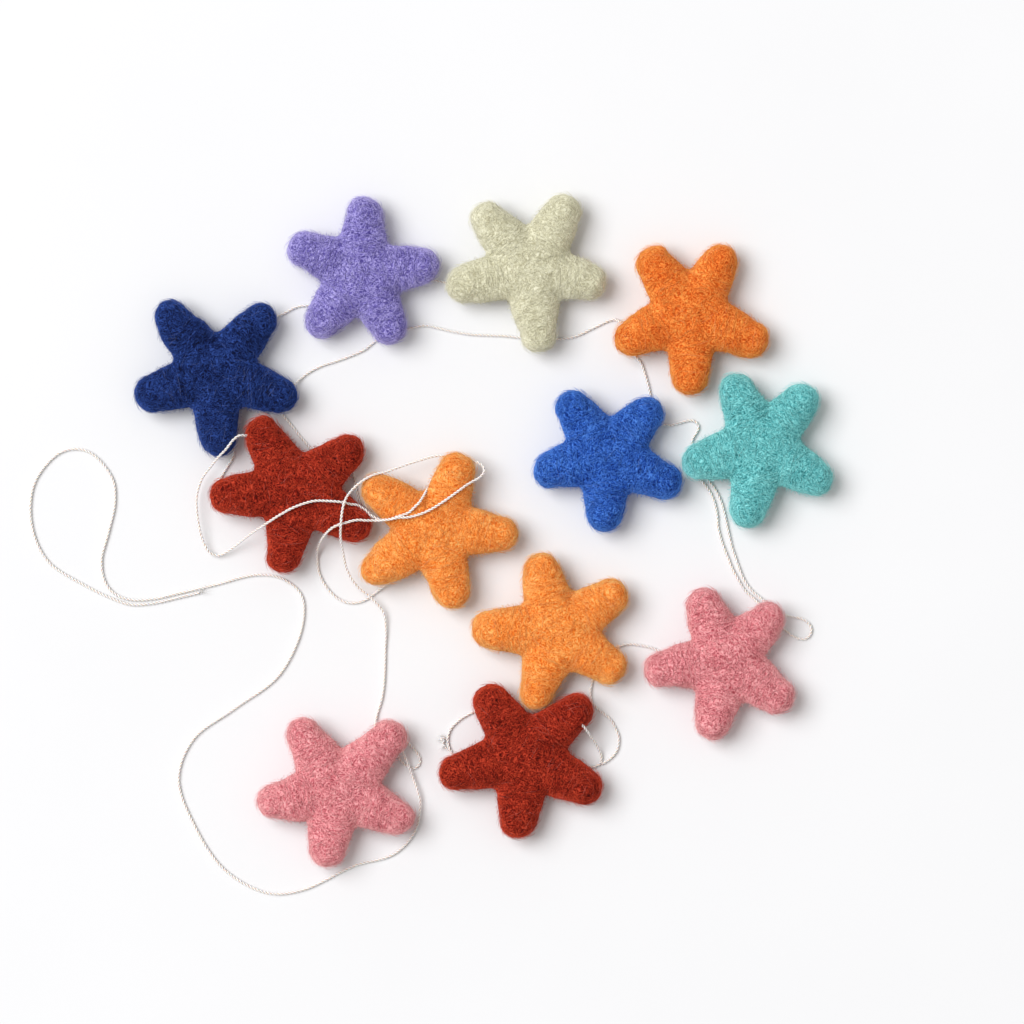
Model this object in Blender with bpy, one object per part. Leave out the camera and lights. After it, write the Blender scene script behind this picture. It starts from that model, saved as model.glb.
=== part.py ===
"""Felt star garland, laid out on a table: twelve needle-felted stars threaded on one thin twisted cord.

Metres, +Z up. The origin is on the table, below the middle of the box round the stars. Each star is one
solid of wool with five plump arms. The cord shows as the stretches between the stars: each one is a tube
that ends against the felt which it goes into.
"""

import math
from collections import namedtuple

import bmesh
import bpy
from mathutils import Matrix, Vector
from mathutils.bvhtree import BVHTree

# Driving dimensions of a star
MID_HEIGHT = 0.0080  # height of the plane of the arms over the table
ARM_ROOT_RADIUS = 0.0094
ARM_TIP_RADIUS = 0.0070
ARM_TAPER = 1.8  # a straight taper is 1, and more keeps an arm wide for longer
BLEND = 0.0025  # how far the wool fills the angle between two arms
BODY_FLATNESS = 0.59  # thickness over width in the middle of a star
TIP_FLATNESS = 0.80  # the same at the tip of an arm
FLATNESS_REACH = 0.025  # distance from the middle at which an arm is round
TIP_RISE = 0.0004  # an arm's tip lies this much above the plane of its star
SETTLE = 0.0013  # wool this close to the table is pressed flat on it

# Driving dimensions of the cord
CORD_DIAMETER = 0.0012
CORD_LIE = 0.00065  # height of its middle where it lies on the table
CORD_STEP = 0.0030  # distance between the points of a straight tube
CORD_BEND_SHARE = 0.004  # one radian of bend counts as this much more length, so points are closer in a bend
CORD_MOST_POINTS = 80
CORD_SIDES_RESOLUTION = 2  # eight sides
GAP = 0.0003  # clearance between two pieces that touch
RIM_POINTS = 8  # places on the rim of a cut end where its clearance is measured

# Driving dimensions of the knot beside the cord at the second end of the garland
KNOT_MIDDLE = (-0.0164, -0.0820, 0.00125)
KNOT_HALF_SIZES = (0.0012, 0.0018, 0.0011)
KNOT_TURN = 12  # degrees
KNOT_FINENESS = 2

# Mesh fineness of a star
SECTION_ANGLES = (90, 42, 0, -42, -90)
# For each loop round an arm: where it starts along the arm, and which place it aims at between valley and tip
STATIONS = ((0, 0), (0.24, 0.15), (0.54, 0.4), (0.78, 0.7), (1, 1))
CAP_ANGLES = (34, 64)
SEAM_GAP = 0.0001  # points of two arms closer than this become one
SEARCH_STEP = 0.001
SEARCH_END = 0.000001  # a search for the wool's surface ends when it is this close
CUT_END = 0.01  # a search for a cut ends at this share of the distance between two points of the curve
SMOOTH_STEPS = 12  # parts of the smooth curve between two points of a route

Star = namedtuple("Star", "node colour x y arms")
Arm = namedtuple("Arm", "bearing reach")
Strand = namedtuple("Strand", "node route")


def star(node, colour, x, y, *arms):
    return Star(node, colour, x, y, [Arm(*arm) for arm in arms])


def strand(node, *places):
    """A place of two numbers lies on the table, and a third number lifts it."""
    return Strand(node, [Vector((*place, CORD_LIE)[:3]) for place in places])


# Each star: its node, its wool, where its middle lies, and for each arm its bearing in degrees and its reach
STARS = (
    star("star_navy", "navy", -0.1047, 0.0613,
         (50, 0.0335), (128, 0.0341), (198, 0.0324), (273, 0.0325), (341, 0.0332)),
    star("star_purple", "purple", -0.0477, 0.1007,
         (6, 0.0306), (87, 0.0295), (158, 0.0305), (231, 0.0309), (297, 0.0308)),
    star("star_sage", "sage", 0.0183, 0.1022,
         (60, 0.0323), (131, 0.0323), (194, 0.0343), (276, 0.0332), (347, 0.0301)),
    star("star_orange", "orange", 0.0803, 0.0846,
         (59, 0.0297), (126, 0.0308), (203, 0.0319), (270, 0.0318), (337, 0.0328)),
    star("star_royal", "royal", 0.0481, 0.0293,
         (48, 0.0289), (126, 0.0298), (194, 0.0296), (267, 0.0298), (335, 0.0311)),
    star("star_turquoise", "turquoise", 0.1084, 0.0328,
         (49, 0.0304), (115, 0.0306), (193, 0.0320), (258, 0.0325), (329, 0.0312)),
    star("star_light_orange_left", "light_orange", -0.0191, 0.0006,
         (69, 0.0312), (146, 0.0333), (215, 0.0337), (285, 0.0321), (356, 0.0328)),
    star("star_light_orange_mid", "light_orange", 0.0288, -0.0390,
         (33, 0.0315), (106, 0.0313), (179, 0.0339), (251, 0.0320), (325, 0.0313)),
    star("star_rust_left", "rust", -0.0734, 0.0155,
         (36, 0.0321), (120, 0.0328), (184, 0.0340), (260, 0.0326), (330, 0.0330)),
    star("star_rust_bottom", "rust", 0.0157, -0.0871,
         (40, 0.0332), (122, 0.0314), (195, 0.0341), (265, 0.0330), (331, 0.0338)),
    star("star_pink_right", "pink", 0.0941, -0.0509,
         (45, 0.0296), (112, 0.0304), (187, 0.0319), (259, 0.0312), (326, 0.0310)),
    star("star_pink_left", "pink", -0.0565, -0.1015,
         (47, 0.0356), (123, 0.0326), (189, 0.0325), (258, 0.0301), (335, 0.0314)),
)

WOOL = {
    "navy": (0.012, 0.040, 0.190),
    "purple": (0.200, 0.150, 0.550),
    "sage": (0.550, 0.580, 0.380),
    "orange": (0.800, 0.175, 0.023),
    "royal": (0.018, 0.090, 0.450),
    "turquoise": (0.075, 0.450, 0.410),
    "light_orange": (0.910, 0.275, 0.045),
    "rust": (0.340, 0.028, 0.012),
    "pink": (0.690, 0.160, 0.215),
}
WOOL_ROUGHNESS = 0.95
CORD_COLOUR = (0.890, 0.855, 0.790)
CORD_ROUGHNESS = 0.8

# Each stretch of the cord: its node, then the places that it passes through
STRANDS = (
    strand("cord_end_loop",
           (-0.1111, -0.0243), (-0.1201, -0.0264), (-0.1291, -0.0284), (-0.1381, -0.0289),
           (-0.1447, -0.0268), (-0.1556, -0.0216), (-0.1704, -0.0119), (-0.1767, 0.0025),
           (-0.1755, 0.0185), (-0.1665, 0.0298), (-0.1595, 0.0318), (-0.1529, 0.0298),
           (-0.1451, 0.0201), (-0.1441, 0.0111), (-0.1466, -0.0006), (-0.1494, -0.0119),
           (-0.1478, -0.0205), (-0.1435, -0.0252), (-0.1381, -0.0270), (-0.1291, -0.0267),
           (-0.1201, -0.0247), (-0.1053, -0.0213), (-0.0893, -0.0174), (-0.0792, -0.0187),
           (-0.0714, -0.0252), (-0.0710, -0.0372), (-0.0800, -0.0564), (-0.0975, -0.0696),
           (-0.1135, -0.0815), (-0.1193, -0.0969), (-0.1131, -0.1152), (-0.1014, -0.1324),
           (-0.0850, -0.1414), (-0.0718, -0.1406), (-0.0503, -0.1308), (-0.0351, -0.1262),
           (-0.0269, -0.1172, 0.0012), (-0.0250, -0.1059, 0.0020), (-0.0281, -0.0957, 0.0022),
           (-0.0293, -0.0922, 0.0027), (-0.0339, -0.0809, 0.0060)),
    strand("cord_pink_left_loop",
           (-0.0413, -0.0809, 0.0046), (-0.0382, -0.0837, 0.0015), (-0.0351, -0.0868, 0.0008),
           (-0.0324, -0.0899), (-0.0300, -0.0922), (-0.0277, -0.0930), (-0.0257, -0.0918),
           (-0.0250, -0.0899), (-0.0257, -0.0876), (-0.0277, -0.0850, 0.0009),
           (-0.0300, -0.0825, 0.0026), (-0.0331, -0.0794, 0.0060)),
    strand("cord_pink_left_to_light_orange",
           (-0.0425, -0.0805, 0.0060), (-0.0425, -0.0766, 0.0030), (-0.0421, -0.0731, 0.0009),
           (-0.0398, -0.0649), (-0.0390, -0.0583), (-0.0386, -0.0466), (-0.0384, -0.0380, 0.0012),
           (-0.0394, -0.0318, 0.0022), (-0.0441, -0.0263, 0.0036), (-0.0499, -0.0213, 0.0050),
           (-0.0534, -0.0154, 0.0070), (-0.0550, -0.0080, 0.0109), (-0.0558, -0.0029, 0.0142),
           (-0.0556, 0.0029, 0.0172), (-0.0550, 0.0080, 0.0169), (-0.0542, 0.0111, 0.0162),
           (-0.0523, 0.0146, 0.0137), (-0.0484, 0.0185, 0.0126), (-0.0433, 0.0215, 0.0118),
           (-0.0382, 0.0228, 0.0102), (-0.0328, 0.0248, 0.0088), (-0.0246, 0.0275, 0.0082),
           (-0.0179, 0.0291, 0.0078), (-0.0113, 0.0275, 0.0075)),
    strand("cord_navy_over_rust",
           (-0.0885, 0.0369, 0.0090), (-0.0924, 0.0369, 0.0104), (-0.0952, 0.0369, 0.0120),
           (-0.0975, 0.0353, 0.0130), (-0.0991, 0.0333, 0.0134), (-0.1006, 0.0314, 0.0131),
           (-0.1022, 0.0298, 0.0126), (-0.1037, 0.0283, 0.0116), (-0.1069, 0.0244, 0.0086),
           (-0.1100, 0.0201, 0.0064), (-0.1119, 0.0142, 0.0052), (-0.1121, 0.0092, 0.0048),
           (-0.1108, -0.0002, 0.0040), (-0.1088, -0.0060, 0.0028), (-0.1065, -0.0090, 0.0020),
           (-0.1037, -0.0097, 0.0018), (-0.1002, -0.0082, 0.0026), (-0.0967, -0.0057, 0.0040),
           (-0.0917, -0.0018, 0.0078), (-0.0862, 0.0018, 0.0132), (-0.0835, 0.0035, 0.0152),
           (-0.0807, 0.0053, 0.0164), (-0.0784, 0.0066, 0.0166), (-0.0757, 0.0082, 0.0167),
           (-0.0706, 0.0103, 0.0167), (-0.0659, 0.0115, 0.0165), (-0.0612, 0.0115, 0.0157),
           (-0.0558, 0.0111, 0.0150), (-0.0523, 0.0103, 0.0132), (-0.0484, 0.0092, 0.0107),
           (-0.0441, 0.0060, 0.0102), (-0.0406, 0.0043, 0.0106), (-0.0374, 0.0043, 0.0136),
           (-0.0351, 0.0049, 0.0150), (-0.0328, 0.0057, 0.0151), (-0.0293, 0.0070, 0.0159),
           (-0.0265, 0.0096, 0.0163), (-0.0250, 0.0111, 0.0165), (-0.0234, 0.0135, 0.0145),
           (-0.0218, 0.0166, 0.0107), (-0.0195, 0.0209, 0.0068), (-0.0144, 0.0244, 0.0065)),
    strand("cord_light_orange_over_rust",
           (-0.0055, 0.0271, 0.0080), (-0.0025, 0.0265, 0.0084), (-0.0004, 0.0250, 0.0090),
           (0.0000, 0.0228, 0.0098), (-0.0016, 0.0207, 0.0110), (-0.0043, 0.0191, 0.0125),
           (-0.0070, 0.0175, 0.0142), (-0.0121, 0.0138, 0.0157), (-0.0172, 0.0103, 0.0162),
           (-0.0218, 0.0076, 0.0166), (-0.0269, 0.0057, 0.0165), (-0.0300, 0.0051, 0.0167),
           (-0.0328, 0.0051, 0.0167), (-0.0351, 0.0047, 0.0167), (-0.0374, 0.0043, 0.0155),
           (-0.0421, 0.0039, 0.0128), (-0.0460, 0.0039, 0.0138), (-0.0484, 0.0041, 0.0142),
           (-0.0515, 0.0037, 0.0152), (-0.0542, 0.0029, 0.0153), (-0.0569, 0.0021, 0.0154),
           (-0.0597, 0.0006, 0.0150), (-0.0632, -0.0033, 0.0082), (-0.0651, -0.0076, 0.0034),
           (-0.0651, -0.0115, 0.0010), (-0.0644, -0.0166), (-0.0624, -0.0209), (-0.0593, -0.0248),
           (-0.0554, -0.0275), (-0.0507, -0.0283), (-0.0464, -0.0271), (-0.0425, -0.0244),
           (-0.0390, -0.0216, 0.0024), (-0.0355, -0.0191, 0.0060), (-0.0324, -0.0170, 0.0090)),
    strand("cord_navy_to_rust_top",
           (-0.0827, 0.0517, 0.0044), (-0.0800, 0.0474, 0.0014), (-0.0776, 0.0439, 0.0008),
           (-0.0757, 0.0417), (-0.0722, 0.0372), (-0.0683, 0.0326), (-0.0663, 0.0298, 0.0008),
           (-0.0640, 0.0259, 0.0040)),
    strand("cord_navy_to_rust_side",
           (-0.1002, 0.0376, 0.0046), (-0.0983, 0.0333, 0.0013), (-0.0975, 0.0302), (-0.0987, 0.0271),
           (-0.0998, 0.0255), (-0.1022, 0.0216), (-0.1035, 0.0185), (-0.1026, 0.0154),
           (-0.0998, 0.0138, 0.0009), (-0.0955, 0.0131, 0.0044)),
    strand("cord_navy_to_purple",
           (-0.0885, 0.0794, 0.0044), (-0.0846, 0.0817, 0.0011), (-0.0803, 0.0837), (-0.0772, 0.0852),
           (-0.0733, 0.0872), (-0.0686, 0.0879), (-0.0640, 0.0887), (-0.0601, 0.0899, 0.0010),
           (-0.0562, 0.0915, 0.0042)),
    strand("cord_navy_to_orange",
           (-0.0768, 0.0544, 0.0056), (-0.0741, 0.0569, 0.0025), (-0.0718, 0.0591, 0.0009),
           (-0.0683, 0.0618), (-0.0636, 0.0642), (-0.0577, 0.0661), (-0.0523, 0.0681),
           (-0.0464, 0.0708), (-0.0425, 0.0739), (-0.0363, 0.0770), (-0.0293, 0.0788),
           (-0.0230, 0.0800), (-0.0172, 0.0788), (-0.0129, 0.0778), (-0.0055, 0.0766), (0.0016, 0.0762),
           (0.0082, 0.0759), (0.0199, 0.0747), (0.0277, 0.0747), (0.0320, 0.0749), (0.0363, 0.0760),
           (0.0417, 0.0786), (0.0456, 0.0805), (0.0488, 0.0819), (0.0513, 0.0823, 0.0009),
           (0.0534, 0.0811, 0.0024), (0.0569, 0.0778, 0.0060)),
    strand("cord_purple_to_sage",
           (-0.0293, 0.1020, 0.0046), (-0.0257, 0.1004, 0.0011), (-0.0218, 0.0985), (-0.0168, 0.0971),
           (-0.0113, 0.0965), (-0.0062, 0.0961), (-0.0027, 0.0959, 0.0011), (0.0012, 0.0961, 0.0046)),
    strand("cord_orange_to_royal",
           (0.0546, 0.0751, 0.0046), (0.0569, 0.0712, 0.0012), (0.0593, 0.0677), (0.0612, 0.0653),
           (0.0624, 0.0622), (0.0640, 0.0567), (0.0647, 0.0532), (0.0655, 0.0493, 0.0011),
           (0.0667, 0.0450, 0.0046)),
    strand("cord_royal_to_turquoise",
           (0.0640, 0.0439, 0.0046), (0.0675, 0.0419, 0.0012), (0.0702, 0.0413), (0.0729, 0.0411),
           (0.0764, 0.0420), (0.0788, 0.0427), (0.0811, 0.0429), (0.0831, 0.0418), (0.0837, 0.0400),
           (0.0828, 0.0380), (0.0815, 0.0359), (0.0811, 0.0337), (0.0823, 0.0308, 0.0008),
           (0.0842, 0.0285, 0.0013), (0.0870, 0.0267, 0.0046)),
    strand("cord_turquoise_to_pink_outer",
           (0.0815, 0.0244, 0.0056), (0.0846, 0.0197, 0.0016), (0.0877, 0.0158), (0.0897, 0.0115),
           (0.0909, 0.0064), (0.0913, 0.0014), (0.0928, -0.0045), (0.0952, -0.0107), (0.0971, -0.0154),
           (0.0989, -0.0187), (0.1014, -0.0230), (0.1049, -0.0263, 0.0008), (0.1080, -0.0293, 0.0024),
           (0.1108, -0.0322, 0.0060)),
    strand("cord_turquoise_to_pink_inner",
           (0.0842, 0.0244, 0.0056), (0.0870, 0.0201, 0.0016), (0.0901, 0.0162), (0.0924, 0.0115),
           (0.0936, 0.0076), (0.0952, 0.0002), (0.0967, -0.0064), (0.0983, -0.0111), (0.0998, -0.0154),
           (0.1016, -0.0195), (0.1039, -0.0228), (0.1080, -0.0265, 0.0009), (0.1104, -0.0285, 0.0026),
           (0.1131, -0.0310, 0.0065)),
    strand("cord_pink_right_loop",
           (0.1139, -0.0322, 0.0060), (0.1170, -0.0330, 0.0030), (0.1197, -0.0335, 0.0012),
           (0.1227, -0.0341), (0.1256, -0.0353), (0.1275, -0.0376), (0.1275, -0.0402),
           (0.1258, -0.0421), (0.1230, -0.0423), (0.1197, -0.0406), (0.1166, -0.0382),
           (0.1127, -0.0357, 0.0009), (0.1084, -0.0333, 0.0046)),
    strand("cord_pink_to_light_orange",
           (0.0753, -0.0517, 0.0046), (0.0718, -0.0493, 0.0011), (0.0690, -0.0476), (0.0663, -0.0462),
           (0.0620, -0.0450), (0.0566, -0.0443), (0.0534, -0.0450), (0.0503, -0.0462),
           (0.0472, -0.0474, 0.0011), (0.0433, -0.0482, 0.0046)),
    strand("cord_light_orange_to_rust",
           (0.0429, -0.0513, 0.0046), (0.0425, -0.0560, 0.0011), (0.0421, -0.0595), (0.0415, -0.0626),
           (0.0417, -0.0657), (0.0433, -0.0686), (0.0468, -0.0716), (0.0491, -0.0735),
           (0.0507, -0.0762), (0.0523, -0.0798), (0.0525, -0.0829), (0.0515, -0.0864),
           (0.0495, -0.0889), (0.0472, -0.0904)),
    strand("cord_rust_bottom_right",
           (0.0363, -0.0723, 0.0085), (0.0382, -0.0755, 0.0119), (0.0402, -0.0782, 0.0100),
           (0.0419, -0.0807, 0.0070), (0.0437, -0.0835, 0.0040), (0.0450, -0.0860, 0.0020),
           (0.0458, -0.0885, 0.0009), (0.0454, -0.0907), (0.0435, -0.0920), (0.0408, -0.0922),
           (0.0371, -0.0918, 0.0009), (0.0324, -0.0926, 0.0046)),
    strand("cord_rust_bottom_left",
           (0.0039, -0.0681, 0.0046), (0.0000, -0.0694, 0.0011), (-0.0035, -0.0706), (-0.0078, -0.0727),
           (-0.0105, -0.0747), (-0.0131, -0.0776), (-0.0142, -0.0813), (-0.0137, -0.0848),
           (-0.0121, -0.0876), (-0.0097, -0.0899, 0.0010), (-0.0062, -0.0918, 0.0046)),
    strand("cord_rust_to_light_orange",
           (-0.0569, 0.0275, 0.0046), (-0.0534, 0.0248, 0.0012), (-0.0511, 0.0220), (-0.0503, 0.0185),
           (-0.0497, 0.0150), (-0.0488, 0.0119), (-0.0464, 0.0096), (-0.0437, 0.0080),
           (-0.0398, 0.0080, 0.0010), (-0.0351, 0.0096, 0.0046)),
)


def clear_scene():
    for thing in list(bpy.data.objects):
        bpy.data.objects.remove(thing, do_unlink=True)


def material_for(name, colour, roughness):
    """The material of this name, made the first time that it is asked for."""
    if name in bpy.data.materials:
        return bpy.data.materials[name]
    material = bpy.data.materials.new(name)
    material.use_nodes = True
    shader = material.node_tree.nodes["Principled BSDF"]
    shader.inputs["Base Color"].default_value = (*colour, 1)
    shader.inputs["Roughness"].default_value = roughness
    shader.inputs["Metallic"].default_value = 0
    return material


def smoothstep(value):
    value = min(1, max(0, value))
    return value * value * (3 - 2 * value)


def flatness(place):
    """Thickness over width of the wool above this place of the star's plane."""
    share = smoothstep(math.hypot(place.x, place.y) / FLATNESS_REACH)
    return BODY_FLATNESS + (TIP_FLATNESS - BODY_FLATNESS) * share


def axis_end(arm):
    """Middle of the round tip of an arm, from the middle of the star."""
    bearing = math.radians(arm.bearing)
    run = arm.reach - ARM_TIP_RADIUS
    return Vector((run * math.cos(bearing), run * math.sin(bearing), TIP_RISE))


def outside(place, ends):
    """Roughly how far a place is outside the wool of a star whose arms run from its middle to these ends."""
    thick = flatness(place)
    total = 0
    for end in ends:
        along = min(1, max(0, place.dot(end) / end.length_squared))
        away = place - end * along
        away.z /= thick
        radius = ARM_ROOT_RADIUS + (ARM_TIP_RADIUS - ARM_ROOT_RADIUS) * along**ARM_TAPER
        total += math.exp((radius - away.length) / BLEND)
    return -BLEND * math.log(total)


def surface_point(start, direction, ends):
    """Where a line from inside the wool leaves it."""
    far = SEARCH_STEP
    while outside(start + direction * far, ends) < 0:
        far += SEARCH_STEP
    near = far - SEARCH_STEP
    while far - near > SEARCH_END:
        middle = (near + far) / 2
        if outside(start + direction * middle, ends) < 0:
            near = middle
        else:
            far = middle
    return start + direction * near


def ring(start, across, out, angles, ends):
    """One loop round an arm, from its top down the left side to its bottom and up the right side."""
    loop = []
    right, left = across
    for side, half in ((left, angles), (right, angles[-2:0:-1])):
        for angle in half:
            slope = math.radians(angle)
            direction = side * math.cos(slope) + out + Vector((0, 0, math.sin(slope)))
            loop.append(surface_point(start, direction.normalized(), ends))
    return loop


def make_star(row):
    """A star's five arms as loops round each arm, which meet along the lines between the arms."""
    ends = [axis_end(arm) for arm in row.arms]
    solid = bmesh.new()
    count = len(ends)
    none = Vector()
    for index, end in enumerate(ends):
        bearing = math.radians(row.arms[index].bearing)
        valleys = []
        for other in (index - 1, index + 1):
            turn = math.radians(row.arms[other % count].bearing) - bearing
            half = (turn + math.pi) % (2 * math.pi) - math.pi
            between = Vector((math.cos(bearing + half / 2), math.sin(bearing + half / 2), 0))
            valleys.append(surface_point(none, between, ends))
        ahead = Vector((math.cos(bearing), math.sin(bearing), 0))
        left = Vector((-ahead.y, ahead.x, 0))
        loops = []
        shoulders = (end - left * ARM_TIP_RADIUS, end + left * ARM_TIP_RADIUS)
        for share, outward in STATIONS:
            start = end * share
            aims = [valley.lerp(shoulder, outward) for valley, shoulder in zip(valleys, shoulders)]
            across = [(aim - start).normalized() for aim in aims]
            loops.append(ring(start, across, none, SECTION_ANGLES, ends))
        for angle in CAP_ANGLES:
            lean = ahead * math.tan(math.radians(angle))
            loops.append(ring(end, (-left, left), lean, SECTION_ANGLES, ends))
        pole = solid.verts.new(surface_point(end, ahead, ends))
        rows = [[solid.verts.new(point) for point in loop] for loop in loops]
        for inner, outer in zip(rows, rows[1:]):
            for this, after in zip(range(-1, len(inner) - 1), range(len(inner))):
                solid.faces.new((outer[this], outer[after], inner[after], inner[this]))
        for this, after in zip(rows[-1][-1:] + rows[-1], rows[-1]):
            solid.faces.new((pole, after, this))
    bmesh.ops.remove_doubles(solid, verts=solid.verts, dist=SEAM_GAP)
    for vertex in solid.verts:
        vertex.co.z += MID_HEIGHT
        if vertex.co.z < SETTLE:
            vertex.co.z = 0
        vertex.co.x += row.x
        vertex.co.y += row.y
    mesh = bpy.data.meshes.new(row.node)
    solid.to_mesh(mesh)
    solid.free()
    mesh.shade_smooth()
    thing = bpy.data.objects.new(row.node, mesh)
    bpy.context.collection.objects.link(thing)
    return thing


def smooth_curve(route):
    """Many points on one smooth curve through all the points of a route, none lower than the table allows."""
    padded = [route[0] * 2 - route[1], *route, route[-1] * 2 - route[-2]]
    curve = [route[0]]
    for before, start, end, after in zip(padded, padded[1:], padded[2:], padded[3:]):
        spans = [math.sqrt((b - a).length) for a, b in ((before, start), (start, end), (end, after))]
        leave = (start - before) / spans[0] - (end - before) / (spans[0] + spans[1])
        leave += (end - start) / spans[1]
        arrive = (end - start) / spans[1] - (after - start) / (spans[1] + spans[2])
        arrive += (after - end) / spans[2]
        leave *= spans[1]
        arrive *= spans[1]
        for part in range(1, SMOOTH_STEPS + 1):
            t = part / SMOOTH_STEPS
            point = (
                start * (2 * t**3 - 3 * t**2 + 1)
                + leave * (t**3 - 2 * t**2 + t)
                + end * (3 * t**2 - 2 * t**3)
                + arrive * (t**3 - t**2)
            )
            point.z = max(point.z, CORD_LIE)
            curve.append(point)
    return curve


def clear_of_felt(point, direction, felt):
    """Whether a cut end here, square to the direction, keeps its gap to the wool."""
    first = direction.orthogonal().normalized()
    second = direction.cross(first).normalized()
    for step in range(RIM_POINTS):
        angle = 2 * math.pi * step / RIM_POINTS
        rim = point + (first * math.cos(angle) + second * math.sin(angle)) * (CORD_DIAMETER / 2)
        near, normal, _, distance = felt.find_nearest(rim)
        if (rim - near).dot(normal) < 0 or distance < GAP:
            return False
    return True


def cut_at_felt(curve, felt):
    """The curve without the stretch at its end that is inside the wool or too near it."""
    kept = list(curve)
    while not clear_of_felt(kept[-1], kept[-1] - kept[-2], felt):
        last = kept.pop()
        if clear_of_felt(kept[-1], last - kept[-1], felt):
            near, far = 0, 1
            while far - near > CUT_END:
                middle = (near + far) / 2
                if clear_of_felt(kept[-1].lerp(last, middle), last - kept[-1], felt):
                    near = middle
                else:
                    far = middle
            if near > 0:
                kept.append(kept[-1].lerp(last, near))
            break
    return kept


def spaced_points(curve):
    """Points along the curve, evenly spaced on its straight stretches and closer together in its bends."""
    costs = [0]
    for before, this, after in zip([curve[0], *curve], curve, curve[1:]):
        turn = (this - before).angle(after - this, 0)
        costs.append(costs[-1] + (after - this).length + CORD_BEND_SHARE * turn)
    count = min(CORD_MOST_POINTS - 1, math.ceil(costs[-1] / CORD_STEP))
    points = []
    place = 0
    for index in range(count + 1):
        wanted = costs[-1] * index / count
        while place < len(costs) - 2 and costs[place + 1] < wanted:
            place += 1
        share = (wanted - costs[place]) / (costs[place + 1] - costs[place])
        points.append(curve[place].lerp(curve[place + 1], min(1, share)))
    return points


def make_strand(row, felt):
    """A plain tube along one stretch of the cord."""
    curve = cut_at_felt(smooth_curve(row.route), felt)
    curve = cut_at_felt(curve[::-1], felt)[::-1]
    points = spaced_points(curve)
    data = bpy.data.curves.new(row.node, "CURVE")
    data.dimensions = "3D"
    data.bevel_depth = CORD_DIAMETER / 2
    data.bevel_resolution = CORD_SIDES_RESOLUTION
    data.use_fill_caps = True
    spline = data.splines.new("POLY")
    spline.points.add(len(points) - 1)
    for target, point in zip(spline.points, points):
        target.co = (*point, 1)
    thing = bpy.data.objects.new(row.node, data)
    bpy.context.collection.objects.link(thing)
    return thing


def make_knot():
    """The hard little lump of a pulled-tight knot."""
    solid = bmesh.new()
    bmesh.ops.create_icosphere(solid, subdivisions=KNOT_FINENESS, radius=1)
    turn = Matrix.Rotation(math.radians(KNOT_TURN), 3, "Z")
    for vertex in solid.verts:
        vertex.co = turn @ Vector(a * b for a, b in zip(vertex.co, KNOT_HALF_SIZES)) + Vector(KNOT_MIDDLE)
    mesh = bpy.data.meshes.new("cord_knot")
    solid.to_mesh(mesh)
    solid.free()
    thing = bpy.data.objects.new("cord_knot", mesh)
    bpy.context.collection.objects.link(thing)
    return thing


def felt_surface(stars):
    """The surface of all the stars, to measure distances to."""
    points = []
    faces = []
    for thing in stars:
        first = len(points)
        points += [vertex.co.copy() for vertex in thing.data.vertices]
        faces += [[first + corner for corner in face.vertices] for face in thing.data.polygons]
    return BVHTree.FromPolygons(points, faces)


def main():
    clear_scene()
    stars = []
    for row in STARS:
        thing = make_star(row)
        thing.data.materials.append(material_for("wool_" + row.colour, WOOL[row.colour], WOOL_ROUGHNESS))
        stars.append(thing)
    felt = felt_surface(stars)
    for row in STRANDS:
        make_strand(row, felt).data.materials.append(material_for("cord_cotton", CORD_COLOUR, CORD_ROUGHNESS))
    make_knot().data.materials.append(material_for("cord_cotton", CORD_COLOUR, CORD_ROUGHNESS))


main()
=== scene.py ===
"""The looks of the felt star garland: needle-felted wool stars on one thin twisted cord, laid on a table.

Metres, +Z up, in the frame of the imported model. Patterns in the materials are in millimetres.
"""

import math
import random
from collections import namedtuple

import bmesh
import bpy
import numpy as np
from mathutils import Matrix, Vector, noise


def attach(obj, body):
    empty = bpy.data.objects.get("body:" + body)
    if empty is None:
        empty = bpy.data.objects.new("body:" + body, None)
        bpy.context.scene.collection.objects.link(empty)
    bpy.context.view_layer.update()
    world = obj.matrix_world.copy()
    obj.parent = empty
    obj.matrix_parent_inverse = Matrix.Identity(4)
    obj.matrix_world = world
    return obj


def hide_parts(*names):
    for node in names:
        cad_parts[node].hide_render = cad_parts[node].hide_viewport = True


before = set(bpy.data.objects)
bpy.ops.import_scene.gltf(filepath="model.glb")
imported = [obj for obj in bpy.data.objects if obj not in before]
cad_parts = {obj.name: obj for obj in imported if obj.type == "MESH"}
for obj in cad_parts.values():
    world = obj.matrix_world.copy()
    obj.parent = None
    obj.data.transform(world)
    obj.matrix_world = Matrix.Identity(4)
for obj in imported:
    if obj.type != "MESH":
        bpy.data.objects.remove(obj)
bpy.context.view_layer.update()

# Camera: looks straight down on a picture this wide, through a long lens
VIEW_WIDTH = 0.39936
VIEW_MIDDLE = (0.01092, 0.00722)
VIEW_LEVEL = 0.004  # height at which the picture has its width
CAMERA_DISTANCE = 4.0
CAMERA_SIGHT = 12.0  # how far it sees

# Light: a white room and one large soft lamp from the left and a little from the back
ROOM_COLOUR = "#FFFDFA"
ROOM_STRENGTH = 0.50
LAMP_COLOUR = "#FCFDFF"
LAMP_PLACE = (-4.10, 1.75, 6.70)
LAMP_SIDE = 5.60
LAMP_POWER = 708.0
FLOOR_SIDE = 14.0
FLOOR_DROP = 0.0002

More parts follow.
